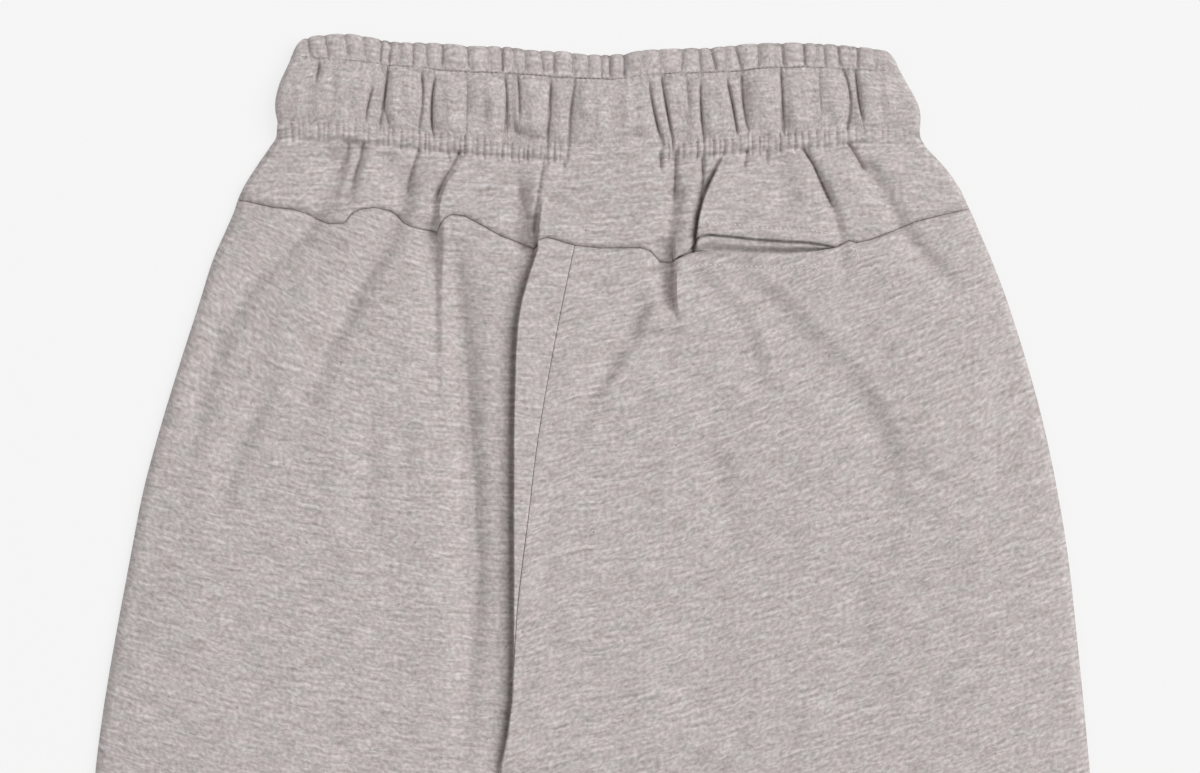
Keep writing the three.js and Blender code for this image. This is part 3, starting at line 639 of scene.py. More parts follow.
def melange_group():
    tree = bpy.data.node_groups.new("melange", "ShaderNodeTree")
    for name, kind in MELANGE_INPUTS.items():
        tree.interface.new_socket(name, in_out="INPUT", socket_type="NodeSocket" + kind)
    for name, kind in dict(Color="Color", Height="Float").items():
        tree.interface.new_socket(name, in_out="OUTPUT", socket_type="NodeSocket" + kind)
    given, result = add_node(tree, "NodeGroupInput", {}), add_node(tree, "NodeGroupOutput", {})
    cloth, light, middle, dark, contrast = [given.outputs[name] for name in MELANGE_INPUTS]

    def calc(operation, *values):
        return add_node(tree, "ShaderNodeMath", dict(enumerate(values)), operation=operation).outputs[0]

    def move(operation, vector, by):
        return add_node(tree, "ShaderNodeVectorMath", {0: vector, 1: by}, operation=operation).outputs[0]

    def noise(vector, **values):
        node = add_node(tree, "ShaderNodeTexNoise", dict(Vector=vector, **values), noise_dimensions="2D")
        return calc("SUBTRACT", node.outputs[0], 0.5)

    def blend(low, high, factor, mode="MIX"):
        values, settings = {0: factor, 6: low, 7: high}, dict(data_type="RGBA", blend_type=mode)
        return add_node(tree, "ShaderNodeMix", values, clamp_factor=True, **settings).outputs[2]

    sway = calc("MULTIPLY", noise(cloth, Scale=WANDER_SCALE, Detail=1), WANDER)
    wavy = move("ADD", cloth, add_node(tree, "ShaderNodeCombineXYZ", {1: sway}).outputs[0])

    def streaks(size, detail, roughness):
        """Noise drawn out along the rows of stitches, which wander up and down a little."""
        finer = move("MULTIPLY", wavy, (1 / size[0], 1 / size[1], 1))
        return noise(finer, Scale=1, Detail=detail, Roughness=roughness, Distortion=0.25)

    fibres = streaks(FIBRE, 1.2, 0.45)
    mixed = calc("ADD", fibres, calc("MULTIPLY", streaks(YARN, 1.2, 0.5), YARN_SHARE))
    mixed = calc("ADD", mixed, calc("MULTIPLY", streaks(CLOUD, 1, 0.5), CLOUD_SHARE))
    share = calc("ADD", calc("MULTIPLY", mixed, contrast), 0.5)
    lower = blend(dark, middle, calc("MULTIPLY", share, 2))
    colour = blend(lower, light, calc("SUBTRACT", calc("MULTIPLY", share, 2), 1))

    spots = add_node(
        tree, "ShaderNodeTexVoronoi", dict(Vector=cloth, Scale=SPECKS_PER_METRE), voronoi_dimensions="2D",
    )
    speck = calc("LESS_THAN", spots.outputs["Distance"], SPECK_SIZE)
    colour = blend(colour, dark, calc("MULTIPLY", speck, SPECK_SHARE))
    warmth = calc("ADD", calc("MULTIPLY", streaks(TINT, 1, 0.5), TINT_GAIN), 0.5)
    colour = blend(colour, blend(COOL_TINT, WARM_TINT, warmth), 1, mode="MULTIPLY")

    parts = add_node(tree, "ShaderNodeSeparateXYZ", {0: cloth}).outputs
    wale = calc("PINGPONG", calc("DIVIDE", parts[0], LOOP_WIDTH), 0.5)
    course = calc("ADD", calc("DIVIDE", parts[1], LOOP_HEIGHT), wale)
    loops = calc("MULTIPLY", calc("SINE", calc("MULTIPLY", course, math.tau)), LOOP_SHARE)
    fill(tree, result, dict(Color=colour, Height=calc("ADD", fibres, loops)))
    return tree


melange = melange_group()
print("the melange group has", len(melange.nodes), "nodes")

# %% [markdown]
# Fleece is matt, with a slight sheen from its raised fibres. The three materials differ in their tones,
# their contrast and their nap. The greys are warm, and a little pinker in the pale fibres.

# %% Materials
ROUGHNESS, GLOSS, NAP_ROUGHNESS = 0.94, 0.2, 0.55
GREY = dict(
    Light=(0.696, 0.65, 0.641, 1), Middle=(0.472, 0.429, 0.42, 1), Dark=(0.279, 0.254, 0.237, 1),
)
PALE = dict(Light=(0.9, 0.86, 0.84, 1), Middle=(0.76, 0.71, 0.69, 1), Dark=(0.6, 0.56, 0.55, 1))


def cloth_material(name, tones, contrast, nap, bump):
    material = bpy.data.materials.new(name)
    material.use_nodes = True
    tree = material.node_tree
    cloth = add_node(tree, "ShaderNodeUVMap", {}, uv_map="cloth")
    values = dict(tones, Cloth=cloth.outputs[0], Contrast=contrast)
    yarn = add_node(tree, "ShaderNodeGroup", {}, node_tree=melange)
    fill(tree, yarn, values)
    relief = add_node(tree, "ShaderNodeBump", dict(Distance=bump, Height=yarn.outputs["Height"]))
    fill(tree, tree.nodes["Principled BSDF"], {
        "Base Color": yarn.outputs["Color"], "Normal": relief.outputs[0], "Roughness": ROUGHNESS,
        "Specular IOR Level": GLOSS, "Sheen Weight": nap, "Sheen Roughness": NAP_ROUGHNESS,
    })
    return material


fleece = cloth_material("fleece", GREY, contrast=0.84, nap=0.2, bump=0.00012)
rib_knit = cloth_material("rib_knit", GREY, contrast=0.8, nap=0.15, bump=0.00012)
thread = cloth_material("thread", PALE, contrast=0.8, nap=0.1, bump=0.0001)
print("materials:", fleece.name, rib_knit.name, thread.name)


def make_piece(
    name, node, grid, shape, grain,
    knit=fleece, tube=False,
):
    """Lays one cut piece in the place of its solid. The grid is its faces across and down."""
    piece = slab(name, *grid, tube)
    lay(piece, shape, grain)
    piece.data.materials.clear()
    piece.data.materials.append(knit)
    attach(piece, "root")
    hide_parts(node)


# %% [markdown]
# Right under the waistband, a strip of the yoke is stitched into small gathers. The waistband's lower
# edge shares them, so they come first. They are drawn at random between two spacings, with a seed that
# keeps them the same, and there are none on a flat stretch at the centre.

# %% Gathers of the stitched strip
SHIRR_SPACING = (2, 4.4)
draws = np.random.default_rng(21)
SHIRRS = np.cumsum(draws.uniform(*SHIRR_SPACING, 103)) - 164
SHIRRS = SHIRRS[(SHIRRS < FLAT_FROM) | (SHIRRS > FLAT_TO)]
SHIRR_DEPTHS = 0.7 + 1.3 * draws.uniform(0, 1, SHIRRS.size)
SHIRR_DEPTHS = SHIRR_DEPTHS * np.interp(SHIRRS, (-165, -76, -70, 118, 145, 165), (0.6, 0.8, 1, 1, 0.4, 0.1))
TUCK_LENGTHS = draws.uniform(1, 6, SHIRRS.size)


def shirring(x, beyond=0):
    """Gathers of the stitched strip, which run out soon beyond its lower stitches."""
    height = np.zeros(np.shape(x))
    for place, depth, tail in zip(SHIRRS, SHIRR_DEPTHS, TUCK_LENGTHS):
        run = ease(1 - beyond / tail)
        off = x - place
        height = height - depth * run * (0.6 * bell(off / 0.5) + 0.4 * bell(off / 1.2))
    return height


print(SHIRRS.size, "gathers under the waistband")

# %% [markdown]
# The waistband is a strip of fleece folded over wide elastic. Its upper stitches leave a small frill
# above the elastic, and between the two rows the cloth puffs out in a channel. Each gather there is a
# thin V, drawn from the upper to the lower row with a slight bend. Dents lie between the gathers.

# %% Gathers of the waistband
BAND_TOP, BAND_END, BAND_GAP, CHANNEL_PUFF = 10.4, 5, 1.2, 2.5
END_LOWER, END_LENGTH = 1, 24
CHANNEL_CREASES = table(
    "top middle bottom start end depth deepest",
    (-142, -142.8, -143.6, 0.1, 0.34, 2.4, 0.15), (-106.6, -107.6, -108.7, 0.08, 0.66, 3.4, 0.36),
    (-108.7, -109.8, -110.8, 0.6, 0.95, 1.8, 0.7), (-108.7, -107.2, -105.6, 0.6, 0.95, 1.4, 0.75),
    (-114.6, -116.6, -118, 0.4, 0.85, 2.2, 0.6), (-89, -88.4, -90.5, 0.1, 0.9, 2.2, 0.25),
    (-82.2, -83.7, -83.2, 0.16, 0.97, 3.4, 0.6), (-65.4, -65.6, -66, 0.15, 0.95, 1.4, 0.5),
    (-45.8, -44.8, -46.3, 0.06, 0.97, 3.3, 0.75), (-39, -38.2, -38.2, 0.06, 0.62, 2.1, 0.3),
    (-40.6, -39.4, -38, 0.74, 1, 1.8, 0.85), (-21.8, -22.7, -23.6, 0.1, 0.93, 3.4, 0.55),
    (-9.6, -11.6, -12.6, 0.08, 1, 2, 0.4), (29.2, 32, 36.4, 0.14, 1, 3, 0.75),
    (35.4, 38.2, 41.4, 0.04, 0.94, 3.3, 0.65), (48.4, 48.9, 49.4, 0.1, 0.5, 1.3, 0.3),
    (55.6, 56, 57.6, 0.14, 0.96, 2.6, 0.6), (69.6, 72.7, 74.8, 0.16, 0.95, 3, 0.6),
    (77, 78, 80.4, 0.08, 0.9, 2.6, 0.3), (97.4, 98.2, 98.9, 0.05, 0.96, 3.3, 0.8),
    (117, 117.4, 118, 0.1, 0.7, 1.2, 0.3), (129.6, 133.4, 131.8, 0, 0.96, 3, 0.7),
    (136, 137.7, 139.8, 0, 0.86, 2.6, 0.5),
)
FRILL_CREASES = table(
    "x lean depth",
    (-148, 1, 2.6), (-139.4, 2, 2.2), (-129, 2, 1.8), (-119.6, 1.5, 1.4), (-109.7, -1, 2.6),
    (-105, -1, 2.4), (-99.8, -1.4, 1.4), (-93.6, 0, 2), (-86.8, 0.4, 2), (-78, -0.6, 2.4),
    (-65.5, 0.8, 2), (-47.3, 0.4, 2.8), (-41.6, 1, 1.6), (-35.4, 0, 1.8), (-27.6, 2, 2),
    (-20.3, -0.4, 2.4), (-10.9, 0, 1.8), (-2.6, 0, 1.8), (4.2, 0, 2), (8.6, 0, 2.6), (16.1, 0, 2.6),
    (25, 0.4, 1.2), (33.8, 1.4, 1.4), (46.3, -0.6, 2), (55.1, 0.2, 2.2), (61, 3, 2.6), (68.1, 1, 1.2),
    (73.8, 3.2, 2.6), (85.3, 0, 1.8), (94.1, 0.4, 1.2), (98, 0.8, 2.6), (109.2, 0.6, 2.6),
    (115.4, 0, 1.4), (119.6, 0.4, 2), (127, 1, 2.6), (133.1, 0.6, 1.2), (137.3, -0.4, 2.4),
    (145.6, 1.6, 1.2), (-55, 0.6, 1.4),
)
DENTS = table(
    "x share depth wide tall",
    (-57, 0.68, 1.5, 9, 0.2), (-35, 0.9, 1.6, 11, 0.12), (-17, 0.55, 1.3, 5, 0.25),
    (-118, 0.84, 1, 8, 0.16), (-140, 0.6, 0.8, 8, 0.3), (-96, 0.75, 0.8, 6, 0.2), (22, 0.86, 0.8, 12, 0.12),
    (48, 0.7, 1, 5, 0.25), (88, 0.8, 1, 8, 0.18), (107, 0.5, 0.8, 6, 0.2), (122, 0.8, 1.1, 8, 0.18),
    (151, 0.7, 1.5, 6, 0.25), (160, 0.35, 1.3, 5, 0.3), (62, 0.4, 0.7, 4, 0.2),
)
SLIT_FLOOR = 6.6
CHANNEL_WAVES = table(
    "length drift start height",
    (29, 3, 0.4, 0.45), (17.5, -4, 2.1, 0.45), (11.3, 3, 4, 0.32), (7.1, -2, 5.2, 0.2),
)
print(len(CHANNEL_CREASES["top"]), "gathers in the channel,", len(FRILL_CREASES["x"]), "in the frill")

# %% [markdown]
# The height of the waistband is worked out from those tables: puffed cloth, less its gathers and dents,
# less the small gathers that reach up from the strip below. Near its two ends it lies a little lower.

# %% Height of the waistband


def slit(distance, depth):
    """A gather: a deep narrow slit with softly rounded cloth on both sides."""
    off, crisp = np.abs(distance), min(max((depth - 1.6) / 2.4, 0), 1)
    narrow = crisp * (0.42 * bell(off / 0.75) + 0.26 * np.exp(-off / 1.7))
    return depth * (narrow + 0.3 * bell(off / 4.2) + (1 - crisp) * 0.5 * bell(off / 2.2))


def channel_line(top, middle, bottom, start, end, share):
    """A crease's place: a curve from its top through its middle to its bottom."""
    t = np.clip((share - start) / (end - start), 0, 1)
    return lerp(top, bottom, t) + (2 * middle - top - bottom) * 2 * t * (1 - t)


def channel_height(x, share):
    """Puffed cloth between the two rows of stitching, less its gathers."""
    height = CHANNEL_PUFF * ease(share / 0.42) * ease((1 - share) / 0.24)
    for length, drift, start, tall in zip(*CHANNEL_WAVES.values()):
        wave = np.sin(math.tau * (x + drift * share) / length + start)
        height = height + tall * wave * np.sin(math.pi * share)
    for top, middle, bottom, start, end, depth, deepest in zip(*CHANNEL_CREASES.values()):
        line = channel_line(top, middle, bottom, start, end, share)
        ends = ease((share - start + 0.1) / 0.2) * ease((end - share + 0.12) / 0.24)
        ends = ends * (0.6 + 0.4 * bell((share - deepest) / 0.3))
        height = height - ends * slit(x - line, 2.2 * depth)
    for middle, along, depth, wide, tall in zip(*DENTS.values()):
        height = height - 2.6 * depth * bell((x - middle) / wide) * bell((share - along) / tall)
    return height


def frill_height(x, share):
    height = 1.2 * np.sin(math.pi * share) ** 2 - 1.2 * (1 - share) ** 2
    for place, lean, depth in zip(*FRILL_CREASES.values()):
        ends = ease(share / 0.2 + 0.3) * ease((1.06 - share) / 0.3)
        height = height - ends * slit(x - place - lean * share, 1.4 * depth)
    return height


def band_height(x, down):
    x = np.asarray(x, float)
    share = np.clip(down / HEADER, 0, 1)
    channel = np.clip((down - HEADER) / (BAND_HEIGHT - HEADER), 0, 1)
    height = np.where(down < HEADER, frill_height(x, share), channel_height(x, channel))
    rows = 0.12 * bell((down - HEADER) / 1.2) + 0.3 * bell((BAND_HEIGHT - down) / 3)
    rows = rows - shirring(x) * ease((down - BAND_HEIGHT + 3.5) / 3.5)
    ripple = 0.36 * np.cos(math.tau * x / 3.1 + 2.4 * np.sin(x / 7)) * bell((down - HEADER) / 2.4)
    to_end = np.minimum(x - band_left(down), band_right(down) - x)
    taper = 1 - ease(to_end / END_LENGTH)
    height = height * (1 - 0.4 * taper) - END_LOWER * taper
    return np.maximum(BAND_TOP + height - rows + ripple, SLIT_FLOOR)


def band_drop(x, down):
    scallop = np.zeros(x.shape)
    for place, depth in zip(FRILL_CREASES["x"], FRILL_CREASES["depth"]):
        scallop = scallop + 0.42 * depth * np.exp(-np.abs(x - place) / 1.2)
    edge = frill_edge(x) + scallop
    header, seam = header_line(x), sag(x) + BAND_HEIGHT
    channel = lerp(header, seam, (down - HEADER) / (BAND_HEIGHT - HEADER))
    return np.where(down < HEADER, lerp(edge, header, down / HEADER), channel)


print("the waistband is", round(float(band_height(0.0, 30.0)), 1), "mm high at its centre")

# %% [markdown]
# A waistband or a cuff that lies flat is a tube pressed together. Most columns of its grid go to the side
# that shows, and only a few to the folds at its ends and to the side that it lies on.

# %% Tubes pressed flat
TOP_END, RIGHT_END, UNDER_END = 0.92, 0.94, 0.98


def evenly(share, row, start, end):
    return lerp(start, end, share)


def tube_shape(left, right, height, radius, gap, columns=evenly):
    """A tube pressed flat: across the top, round the right fold, back underneath, round the left."""
    def shape(across, row):
        start, end = left(row) + radius, right(row) - radius
        on_top, on_right = across <= TOP_END, (across > TOP_END) & (across < RIGHT_END)
        under = (across >= RIGHT_END) & (across <= UNDER_END)
        x = np.where(on_top, columns(np.minimum(across / TOP_END, 1), row, start, end), end)
        x = np.where(under, lerp(end, start, (across - RIGHT_END) / (UNDER_END - RIGHT_END)), x)
        x = np.where(across > UNDER_END, start, x)
        turn = np.where(
            on_right, HALF_PI - math.pi * (across - TOP_END) / (RIGHT_END - TOP_END),
            -HALF_PI - math.pi * (across - UNDER_END) / (1 - UNDER_END),
        )
        turn = np.where(on_top, HALF_PI, np.where(under, -HALF_PI, turn))
        tall = height(x, row)
        outside = tall / 2 * (1 + np.sin(turn))
        inside = radius + gap / 2 * np.sin(turn)
        return x + radius * np.cos(turn), outside, inside, x + gap / 2 * np.cos(turn)

    return shape


print("side that shows:", TOP_END, "of the columns of a tube")

# %% [markdown]
# A gather narrower than the grid would look ragged. So the columns of the waistband crowd together at
# each gather that crosses their row, and follow it as it bends.

# %% Waistband
BAND_FLAT = 780


def band_columns(share, row, start, end):
    """Each row's columns stand close together at the creases that cross it."""
    x = np.empty(share.shape)
    for down in np.unique(row):
        here = row == down
        if down < HEADER:
            part = down / HEADER
            lines = FRILL_CREASES["x"] + FRILL_CREASES["lean"] * part
        else:
            part = (down - HEADER) / (BAND_HEIGHT - HEADER)
            lines = [channel_line(*gather[:5], part) for gather in zip(*CHANNEL_CREASES.values())]
        x[here] = crowd(share[here], start[here][0], end[here][0], lines, pull=4)
    return x


band_tube = tube_shape(band_left, band_right, band_height, BAND_END, BAND_GAP, band_columns)


def band_shape(across, down):
    row = down * BAND_HEIGHT
    x, outside, inside, x_inside = band_tube(across, row)
    return x, band_drop(x, row), outside, inside, x_inside


def band_grain(across, down, x, drop):
    return across * BAND_FLAT, down * BAND_HEIGHT + 0 * x


make_piece(
    "waistband_cloth", "waistband", (860, 50), band_shape, band_grain,
    tube=True,
)

# %% [markdown]
# The yoke is one shaped strip between the waistband and the seat. A second row of stitches just under
# the waistband shirrs it into small gathers, and pleats start there and run down to the seam. All
# columns of its grid lean as the pleats do, so that the folds run along the grid and stay crisp. Its
# upper edge takes the height of the waistband's lower edge, so that the seam between them is quiet. The
# cloth turned in at the lower seam makes the yoke a trace thicker there.

# %% Back yoke
PLEAT_FEET = (-128, -94, -81, -31, 38, 52, 129, 160)
ALLOWANCE, ALLOWANCE_END = 0.3, 9.5
SIDE_BLEND, MIDDLE_BLEND, BLEND_FROM = 8, 3.5, 30
YOKE_LINES = np.concatenate([
    np.interp(SHIRRS, YOKE_LEAN["band"], YOKE_LEAN["seam"]), PLEAT_FEET,
])


def yoke_shape(across, down):
    seam_x = crowd(across, YOKE_SEAM["x"][0], YOKE_SEAM["x"][-1], YOKE_LINES, pull=2.5)
    band_x = np.interp(seam_x, YOKE_LEAN["seam"], YOKE_LEAN["band"])
    top, bottom = sag(band_x) + BAND_HEIGHT + 0.01, yoke_edge(seam_x) - SEAM_SHOWN
    drop = lerp(top, bottom, down)
    corner = np.where(across < 0.5, YOKE_LEAN["band"][0], YOKE_LEAN["band"][-1])
    foot = np.where(across < 0.5, YOKE_SEAM["x"][0], YOKE_SEAM["x"][-1])
    side = np.where(across < 0.5, side_left(drop), side_right(drop))
    near = np.abs(2 * across - 1) ** 4 * (1 - down**4)
    x = lerp(band_x, seam_x, down) + (side - lerp(corner, foot, down)) * near
    below, above = drop - top, bottom - drop
    base = CLOTH + GAP + loft(x, drop)
    gathered = ease((FLAT_FROM - x) / 3) + ease((x - FLAT_TO) / 3)
    puff = 1.7 * np.sin(math.pi * np.clip(below / SHIRRING, 0, 1)) - 0.7 * bell((below - SHIRRING) / 0.9)
    puff = puff * lerp(0.4, 1, ease(to_edge(x, drop) / 45))
    puff = gathered * puff + shirring(x, np.maximum(below - SHIRRING, 0))
    edges = SEAM_DIP * np.exp(-above / SEAM_WIDTH) * (1 - 0.7 * mouth(seam_x))
    edges = edges - ALLOWANCE * ease((ALLOWANCE_END - above) / 2)
    edges = edges + stitch_dent(above - POCKET_ABOVE) * mouth(seam_x)
    edges = edges + rounded_edge(x, drop)
    joined = band_height(x, BAND_HEIGHT + 0 * x)
    blend = lerp(SIDE_BLEND, MIDDLE_BLEND, ease(to_edge(x, drop) / BLEND_FROM))
    outside = lerp(joined, base + CLOTH + puff - edges, ease(below / blend))
    x = x - overhang(x, drop)
    return x, drop, outside, np.minimum(base, outside - 1), x


def yoke_grain(across, down, x, drop):
    return x, drop - 0.5 * sag(x) + 0.05 * x


make_piece(
    "yoke_cloth", "back_yoke", (640, 58), yoke_shape, yoke_grain,
)

# %% [markdown]
# The two back panels are the large pieces: from the wavy yoke seam down to the cuffs. The left one has
# the pleats and the big roll beside the centre seam, so its columns crowd together there. The right
# one is smoother. Rows are close at the seat, where the folds are, and wider apart down the legs.

# %% Columns and rows of the back panels
CENTRE_X, RIGHT_LINES = -9.4, (0, 0.232, 0.24)
ROWS = table(
    "share drop",
    (0, 104), (0.12, 138), (0.5, 320), (0.66, 425), (0.8, 620), (0.93, 920), (1, 975),
)
ROLL = table("x drop", *ROLL_PATH)
roll_line = straight(ROLL, "drop", "x")


def left_columns(share, drop):
    outer = side_left(drop)
    body = drop < CROTCH_DROP
    inner = np.where(body, centre_back(drop) - SEAM_SHOWN, inseam_left(drop))
    roll = np.where(body, roll_line(drop), inner - 12)
    near = roll + np.minimum(2.5, 0.6 * np.maximum(inner - roll, 1))
    beside = inner - np.minimum(1.6, 0.3 * (inner - near))
    pleat = lerp(-81.5, lerp(outer, inner, 0.55), ease((drop - 250) / 170))
    pleat = np.minimum(pleat, roll - 20)
    lines = (outer, pleat - 6, pleat + 6, roll - 5, near, beside, inner)
    shares = (0, 0.34, 0.48, 0.66, 0.84, 0.95, 1)
    x = outer
    for low, high, start, end in zip(shares, shares[1:], lines, lines[1:]):
        x = np.where(share > low, lerp(start, end, (share - low) / (high - low)), x)
    return x


def right_columns(share, drop):
    inner = np.where(drop < CROTCH_DROP, centre_back(drop) + SEAM_SHOWN, inseam_right(drop))
    return lerp(inner, side_right(drop), right_seam_share(share))


LEFT_TOP = table(
    "share seam", (0, 0), (0.34, 0.555), (0.48, 0.624), (0.66, 0.866), (0.84, 0.909), (0.95, 0.991),
    (1, 1),
)
left_seam_share = straight(LEFT_TOP, "share", "seam")


def right_seam_share(share):
    return crowd(share, 0, 1, RIGHT_LINES, pull=5, width=0.012)


print("rows of the panels run from", ROWS["drop"][0], "to", ROWS["drop"][-1], "mm")

# %% [markdown]
# A panel hangs from its points on the yoke seam. Its first rows share the waves of that seam, and a few
# centimetres lower the rows are level. The cloth dips into every seam and is pressed in by every stitch.

# %% Shape of a back panel
CENTRE_DIP, CENTRE_WIDTH = 0.45, 0.5
HEM_DIP, HEM_WIDTH = 1.6, 2
SEAM_ROW, LEVEL_AFTER = 104, 60


def panel_shape(columns, seam_from, seam_to, seam_share):
    """A back panel between its two side lines, hung from its points on the yoke seam."""
    def shape(across, down):
        seam_x = lerp(seam_from, seam_to, seam_share(across))
        seam_drop = panel_edge(seam_x)
        drop = np.interp(down, ROWS["share"], ROWS["drop"])
        wave = 1 - ease((drop - SEAM_ROW) / LEVEL_AFTER)
        drop = np.where(down > 0, drop + wave * (seam_drop - SEAM_ROW), seam_drop) + SEAM_SHOWN * wave
        drop = np.where(down >= 1, HEM_DROP, drop)
        x = columns(across, drop) + wave**2 * (seam_x - columns(across, seam_drop))
        base = CLOTH + GAP + loft(x, drop)
        centre = np.where(drop < CROTCH_DROP, np.abs(x - centre_back(drop)), np.inf)
        lip = 1 - 0.6 * mouth(seam_x)
        edges = SEAM_DIP * lip * np.exp(-(drop - seam_drop) / SEAM_WIDTH)
        edges = edges + CENTRE_DIP * np.exp(-centre / CENTRE_WIDTH)
        sewn = ease((x - POCKET_FROM) / 4) * ease((POCKET_TO - x) / 4)
        edges = edges + stitch_dent(drop - seam_drop - POCKET_BELOW) * sewn
        edges = edges + rounded_edge(x, drop) + HEM_DIP * np.exp(-(HEM_DROP - drop) / HEM_WIDTH)
        outside = base + CLOTH - edges
        x = x - overhang(x, drop)
        return x, drop, outside, np.minimum(base, outside - 1), x

    return shape


left_shape = panel_shape(left_columns, YOKE_SEAM["x"][0], CENTRE_X - SEAM_SHOWN, left_seam_share)
right_shape = panel_shape(right_columns, CENTRE_X + SEAM_SHOWN, YOKE_SEAM["x"][-1], right_seam_share)
print("the panels meet the yoke from", YOKE_SEAM["x"][0], "to", YOKE_SEAM["x"][-1], "mm")

# %% [markdown]
# The rows of stitches in the cloth, which the melange follows, aren't level: each leg was cut and laid
# at a slant, and the pleats pull them further round at the hips.

# %% Back panels


def left_grain(across, down, x, drop):
    """Rows of stitches that droop towards the left side."""
    run = -60 - x
    slant = 0.08 + 0.1 * run / 170 + 0.17 * bell((drop - 110) / 60) * ease(run / 120)
    return x, drop + run * slant


def right_grain(across, down, x, drop):
    """Rows of stitches that climb towards the right side, more steeply at the hip."""
    run = x - CENTRE_X
    climb = 0.1 * run + 0.19 * (run - 30 * (1 - np.exp(-np.maximum(run, 0) / 30)))
    return x, drop + climb + 0.06 * bell((drop - 150) / 70) * run**2 / 210


make_piece(
    "back_left_cloth", "back_panel_left", (196, 240), left_shape, left_grain,
)
make_piece(
    "back_right_cloth", "back_panel_right", (180, 240), right_shape, right_grain,
)

# %% [markdown]
# A strip of the same cloth faces the inside of the pocket and shows in its open mouth. It hangs under
# the yoke's edge and dips under the lip of the panel, so it is darker towards the lip.

# %% Pocket facing
FACING = dict(left=46, right=128, top=99, bottom=119, thick=1.3)


def facing_shape(across, down):
    x = lerp(FACING["left"], FACING["right"], across)
    drop = lerp(FACING["top"], FACING["bottom"], down)
    below, open_by = drop - yoke_edge(x), np.maximum(panel_edge(x) - yoke_edge(x), 1)
    dip = 2.6 + 2 * bell(below / 0.8) + 3.6 * ease((below - 0.4 * open_by) / (0.6 * open_by))
    outside = np.maximum(CLOTH + GAP + CLOTH + loft(x, drop) - dip, 3.2)
    return x, drop, outside, np.maximum(outside - FACING["thick"], CLOTH), x


def plain_grain(across, down, x, drop):
    return x, drop


make_piece(
    "pocket_facing_cloth", "pocket_facing", (120, 40), facing_shape, plain_grain,
)

# %% [markdown]
# The front panels lie underneath, pressed flat by the rest. Only their edges show, so each is a plain
# thin piece with the outline of the garment.

# %% Front panels


def front_shape(side, inseam, inward):
    def shape(across, down):
        top = sag(lerp(0, side(50.0), across)) + BAND_HEIGHT + GAP
        drop = lerp(top, HEM_DROP, down)
        middle = np.interp(drop, (50, CROTCH_DROP), (0, CROTCH_X)) - inward * GAP / 2
        inner = np.where(drop < CROTCH_DROP, middle, inseam(drop))
        x = lerp(inner, side(drop), across)
        outside = CLOTH - 0.7 * np.exp(-to_edge(x, drop) / 0.8)
        return x, drop, outside, 0 * x, x

    return shape


FRONTS = (
    ("left", front_shape(side_left, inseam_left, 1), (0.262, 0.93), 0.17),
    ("right", front_shape(side_right, inseam_right, -1), (0.302, 0.93), 0.195),
)
for side, shape, flat, area in FRONTS:
    make_piece(
        "front_" + side + "_cloth", "front_panel_" + side, (48, 130), shape, plain_grain,
    )

# %% [markdown]
# The cuffs are tubes of rib knit, which pulls in round the ankle. Each rib is a round ridge with a
# narrow groove beside it. They run along the leg on the upper side; the underside lies flat.

# %% Cuffs
CUFF = dict(offset=150, width=106, top=8.6, end=4, gap=0.3, ribs=25, groove=0.9, flat=230)


def cuff_shape(centre):
    start = centre - CUFF["width"] / 2

    def height(x, row):
        share = (x - start - CUFF["end"]) / (CUFF["width"] - 2 * CUFF["end"])
        rib = np.abs(np.cos(math.pi * share * CUFF["ribs"] + HALF_PI)) ** 0.6
        folds = 0.35 * np.sin(row / 11 + share * 5)
        return CUFF["top"] - CUFF["groove"] * (1 - rib) - 0.8 * np.exp(-(row - HEM_DROP) / 1.5) + folds

    tube = tube_shape(
        lambda row: start + 0 * row, lambda row: start + CUFF["width"] + 0 * row,
        height, CUFF["end"], CUFF["gap"],
    )

    def shape(across, down):
        row = lerp(HEM_DROP + GAP, LENGTH, down)
        x, outside, inside, x_inside = tube(across, row)
        return x, row, outside, inside, x_inside

    return shape


def cuff_grain(across, down, x, drop):
    return across * CUFF["flat"], drop


for side, centre in (("left", -CUFF["offset"]), ("right", CUFF["offset"])):
    make_piece(
        "cuff_" + side + "_rib", "cuff_" + side, (300, 24), cuff_shape(centre), cuff_grain,
        knit=rib_knit, tube=True,
    )

# %% [markdown]
# Sewing is small, but the eye finds it. One stitch is a short bead of thread; a row is that bead set
# along a seam at a steady step, each one turned to follow the line and sunk a little into the cloth.

# %% A row of stitches
STITCH = dict(step=2.3, length=1.6, width=0.8, height=0.7)

bpy.ops.object.select_all(action="DESELECT")
bpy.ops.mesh.primitive_uv_sphere_add(segments=8, ring_count=5, radius=0.5)
bead = bpy.context.object
bead_points = np.array([vertex.co for vertex in bead.data.vertices])
bead_faces = [list(face.vertices) for face in bead.data.polygons]
bpy.data.objects.remove(bead)
bead_points = bead_points[:, [2, 0, 1]] * (STITCH["length"], STITCH["width"], STITCH["height"])


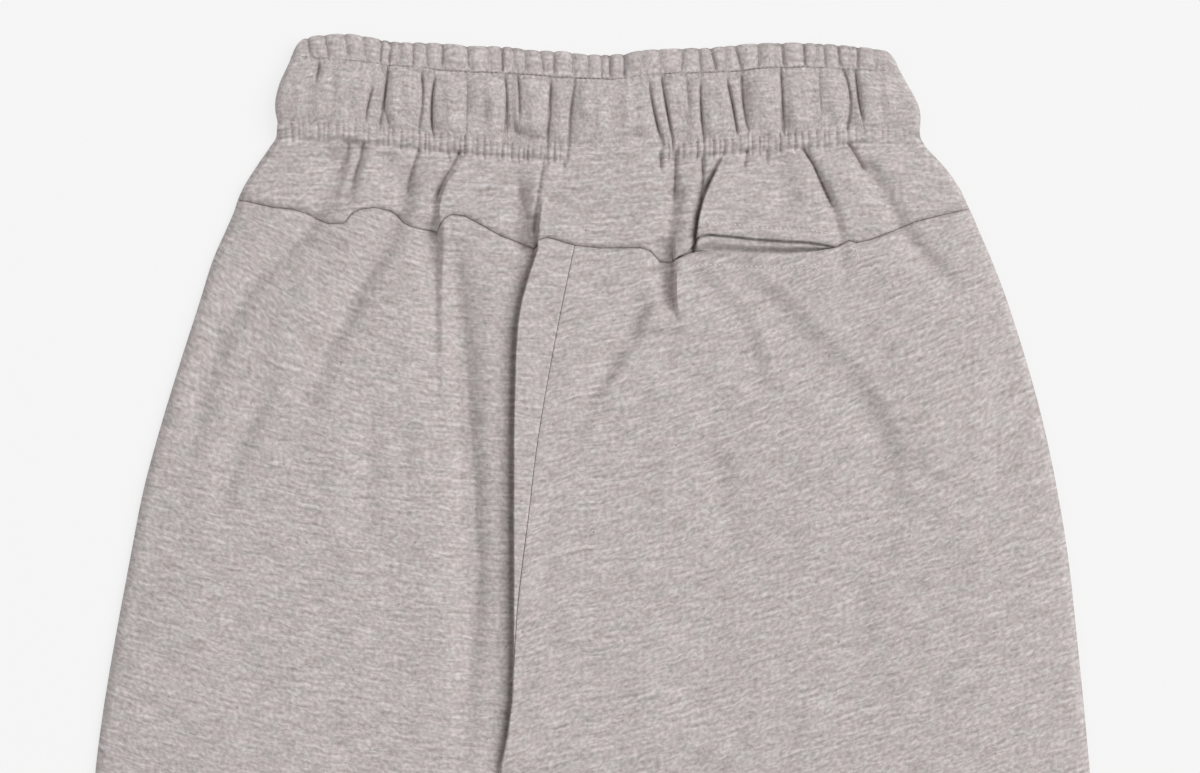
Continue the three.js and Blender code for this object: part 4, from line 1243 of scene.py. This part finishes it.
def stitch_row(name, line_x, line_drop, height, yarn=thread, keep=lambda x: True):
    """Stitches along a line through points at x and drop, at the height of the cloth there."""
    lengths = np.hypot(np.diff(line_x), np.diff(line_drop))
    reached = np.concatenate([[0], np.cumsum(lengths)])
    count = int(reached[-1] / STITCH["step"])
    spots = (np.arange(count) + 0.5) * reached[-1] / count
    x, drop = np.interp(spots, reached, line_x), np.interp(spots, reached, line_drop)
    ahead_x, ahead_drop = (np.interp(spots + 0.5, reached, line) for line in (line_x, line_drop))
    turn = np.arctan2(drop - ahead_drop, ahead_x - x)
    level = height(x, drop)
    points, faces = [], []
    for i in range(count):
        if not keep(x[i]):
            continue
        c, s = math.cos(turn[i]), math.sin(turn[i])
        spot = bead_points @ np.array([[c, s, 0], [-s, c, 0], [0, 0, 1]])
        faces += [[corner + len(points) * len(bead_points) for corner in face] for face in bead_faces]
        points.append((spot + (x[i], -drop[i], level[i])) * MM + (0, WAIST_Y, 0))
    mesh = bpy.data.meshes.new(name)
    mesh.from_pydata(np.concatenate(points).tolist(), [], faces)
    mesh.uv_layers.new(name="cloth")
    mesh.shade_smooth()
    mesh.materials.append(yarn)
    row = bpy.data.objects.new(name, mesh)
    bpy.context.scene.collection.objects.link(row)
    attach(row, "root")
    print(name, "has", len(points), "stitches")


print("stitches:", STITCH["step"], "mm apart")

# %% [markdown]
# Two rows run along the waistband, in thread of the cloth's own colour. The pocket's rows are in paler
# thread, which shows: one above its mouth, one below it and a short one at its right end.

# %% Rows of stitches
SHIRRING_SUNK, UPPER_RAISED, LOWER_SUNK = 0.85, 0.1, 0.22


def back_surface(x, drop, sunk=0):
    return CLOTH + GAP + loft(x, drop) + CLOTH - sunk


def off_flat(x):
    return not FLAT_FROM < x < FLAT_TO


x = np.linspace(-154, 157, 120)
stitch_row(
    "header_stitches", x, header_line(x), lambda x, drop: band_height(x, HEADER + 0 * x), fleece,
)
x = np.linspace(-160, 166, 120)
stitch_row(
    "shirring_stitches", x, sag(x) + BAND_HEIGHT + GAP + SHIRRING,
    lambda x, drop: back_surface(x, drop, SHIRRING_SUNK) + shirring(x), fleece, keep=off_flat,
)
x = np.linspace(56, 126, 40)
stitch_row(
    "pocket_upper_stitches", x, yoke_edge(x) - POCKET_ABOVE,
    lambda x, drop: back_surface(x, drop, -UPPER_RAISED),
)
x = np.linspace(POCKET_FROM, POCKET_TO, 46)
stitch_row(
    "pocket_lower_stitches", x, panel_edge(x) + POCKET_BELOW,
    lambda x, drop: back_surface(x, drop, LOWER_SUNK),
)
stitch_row("pocket_end_stitches", (134.6, 136.4, 137.6), (108.2, 111, 117), back_surface)
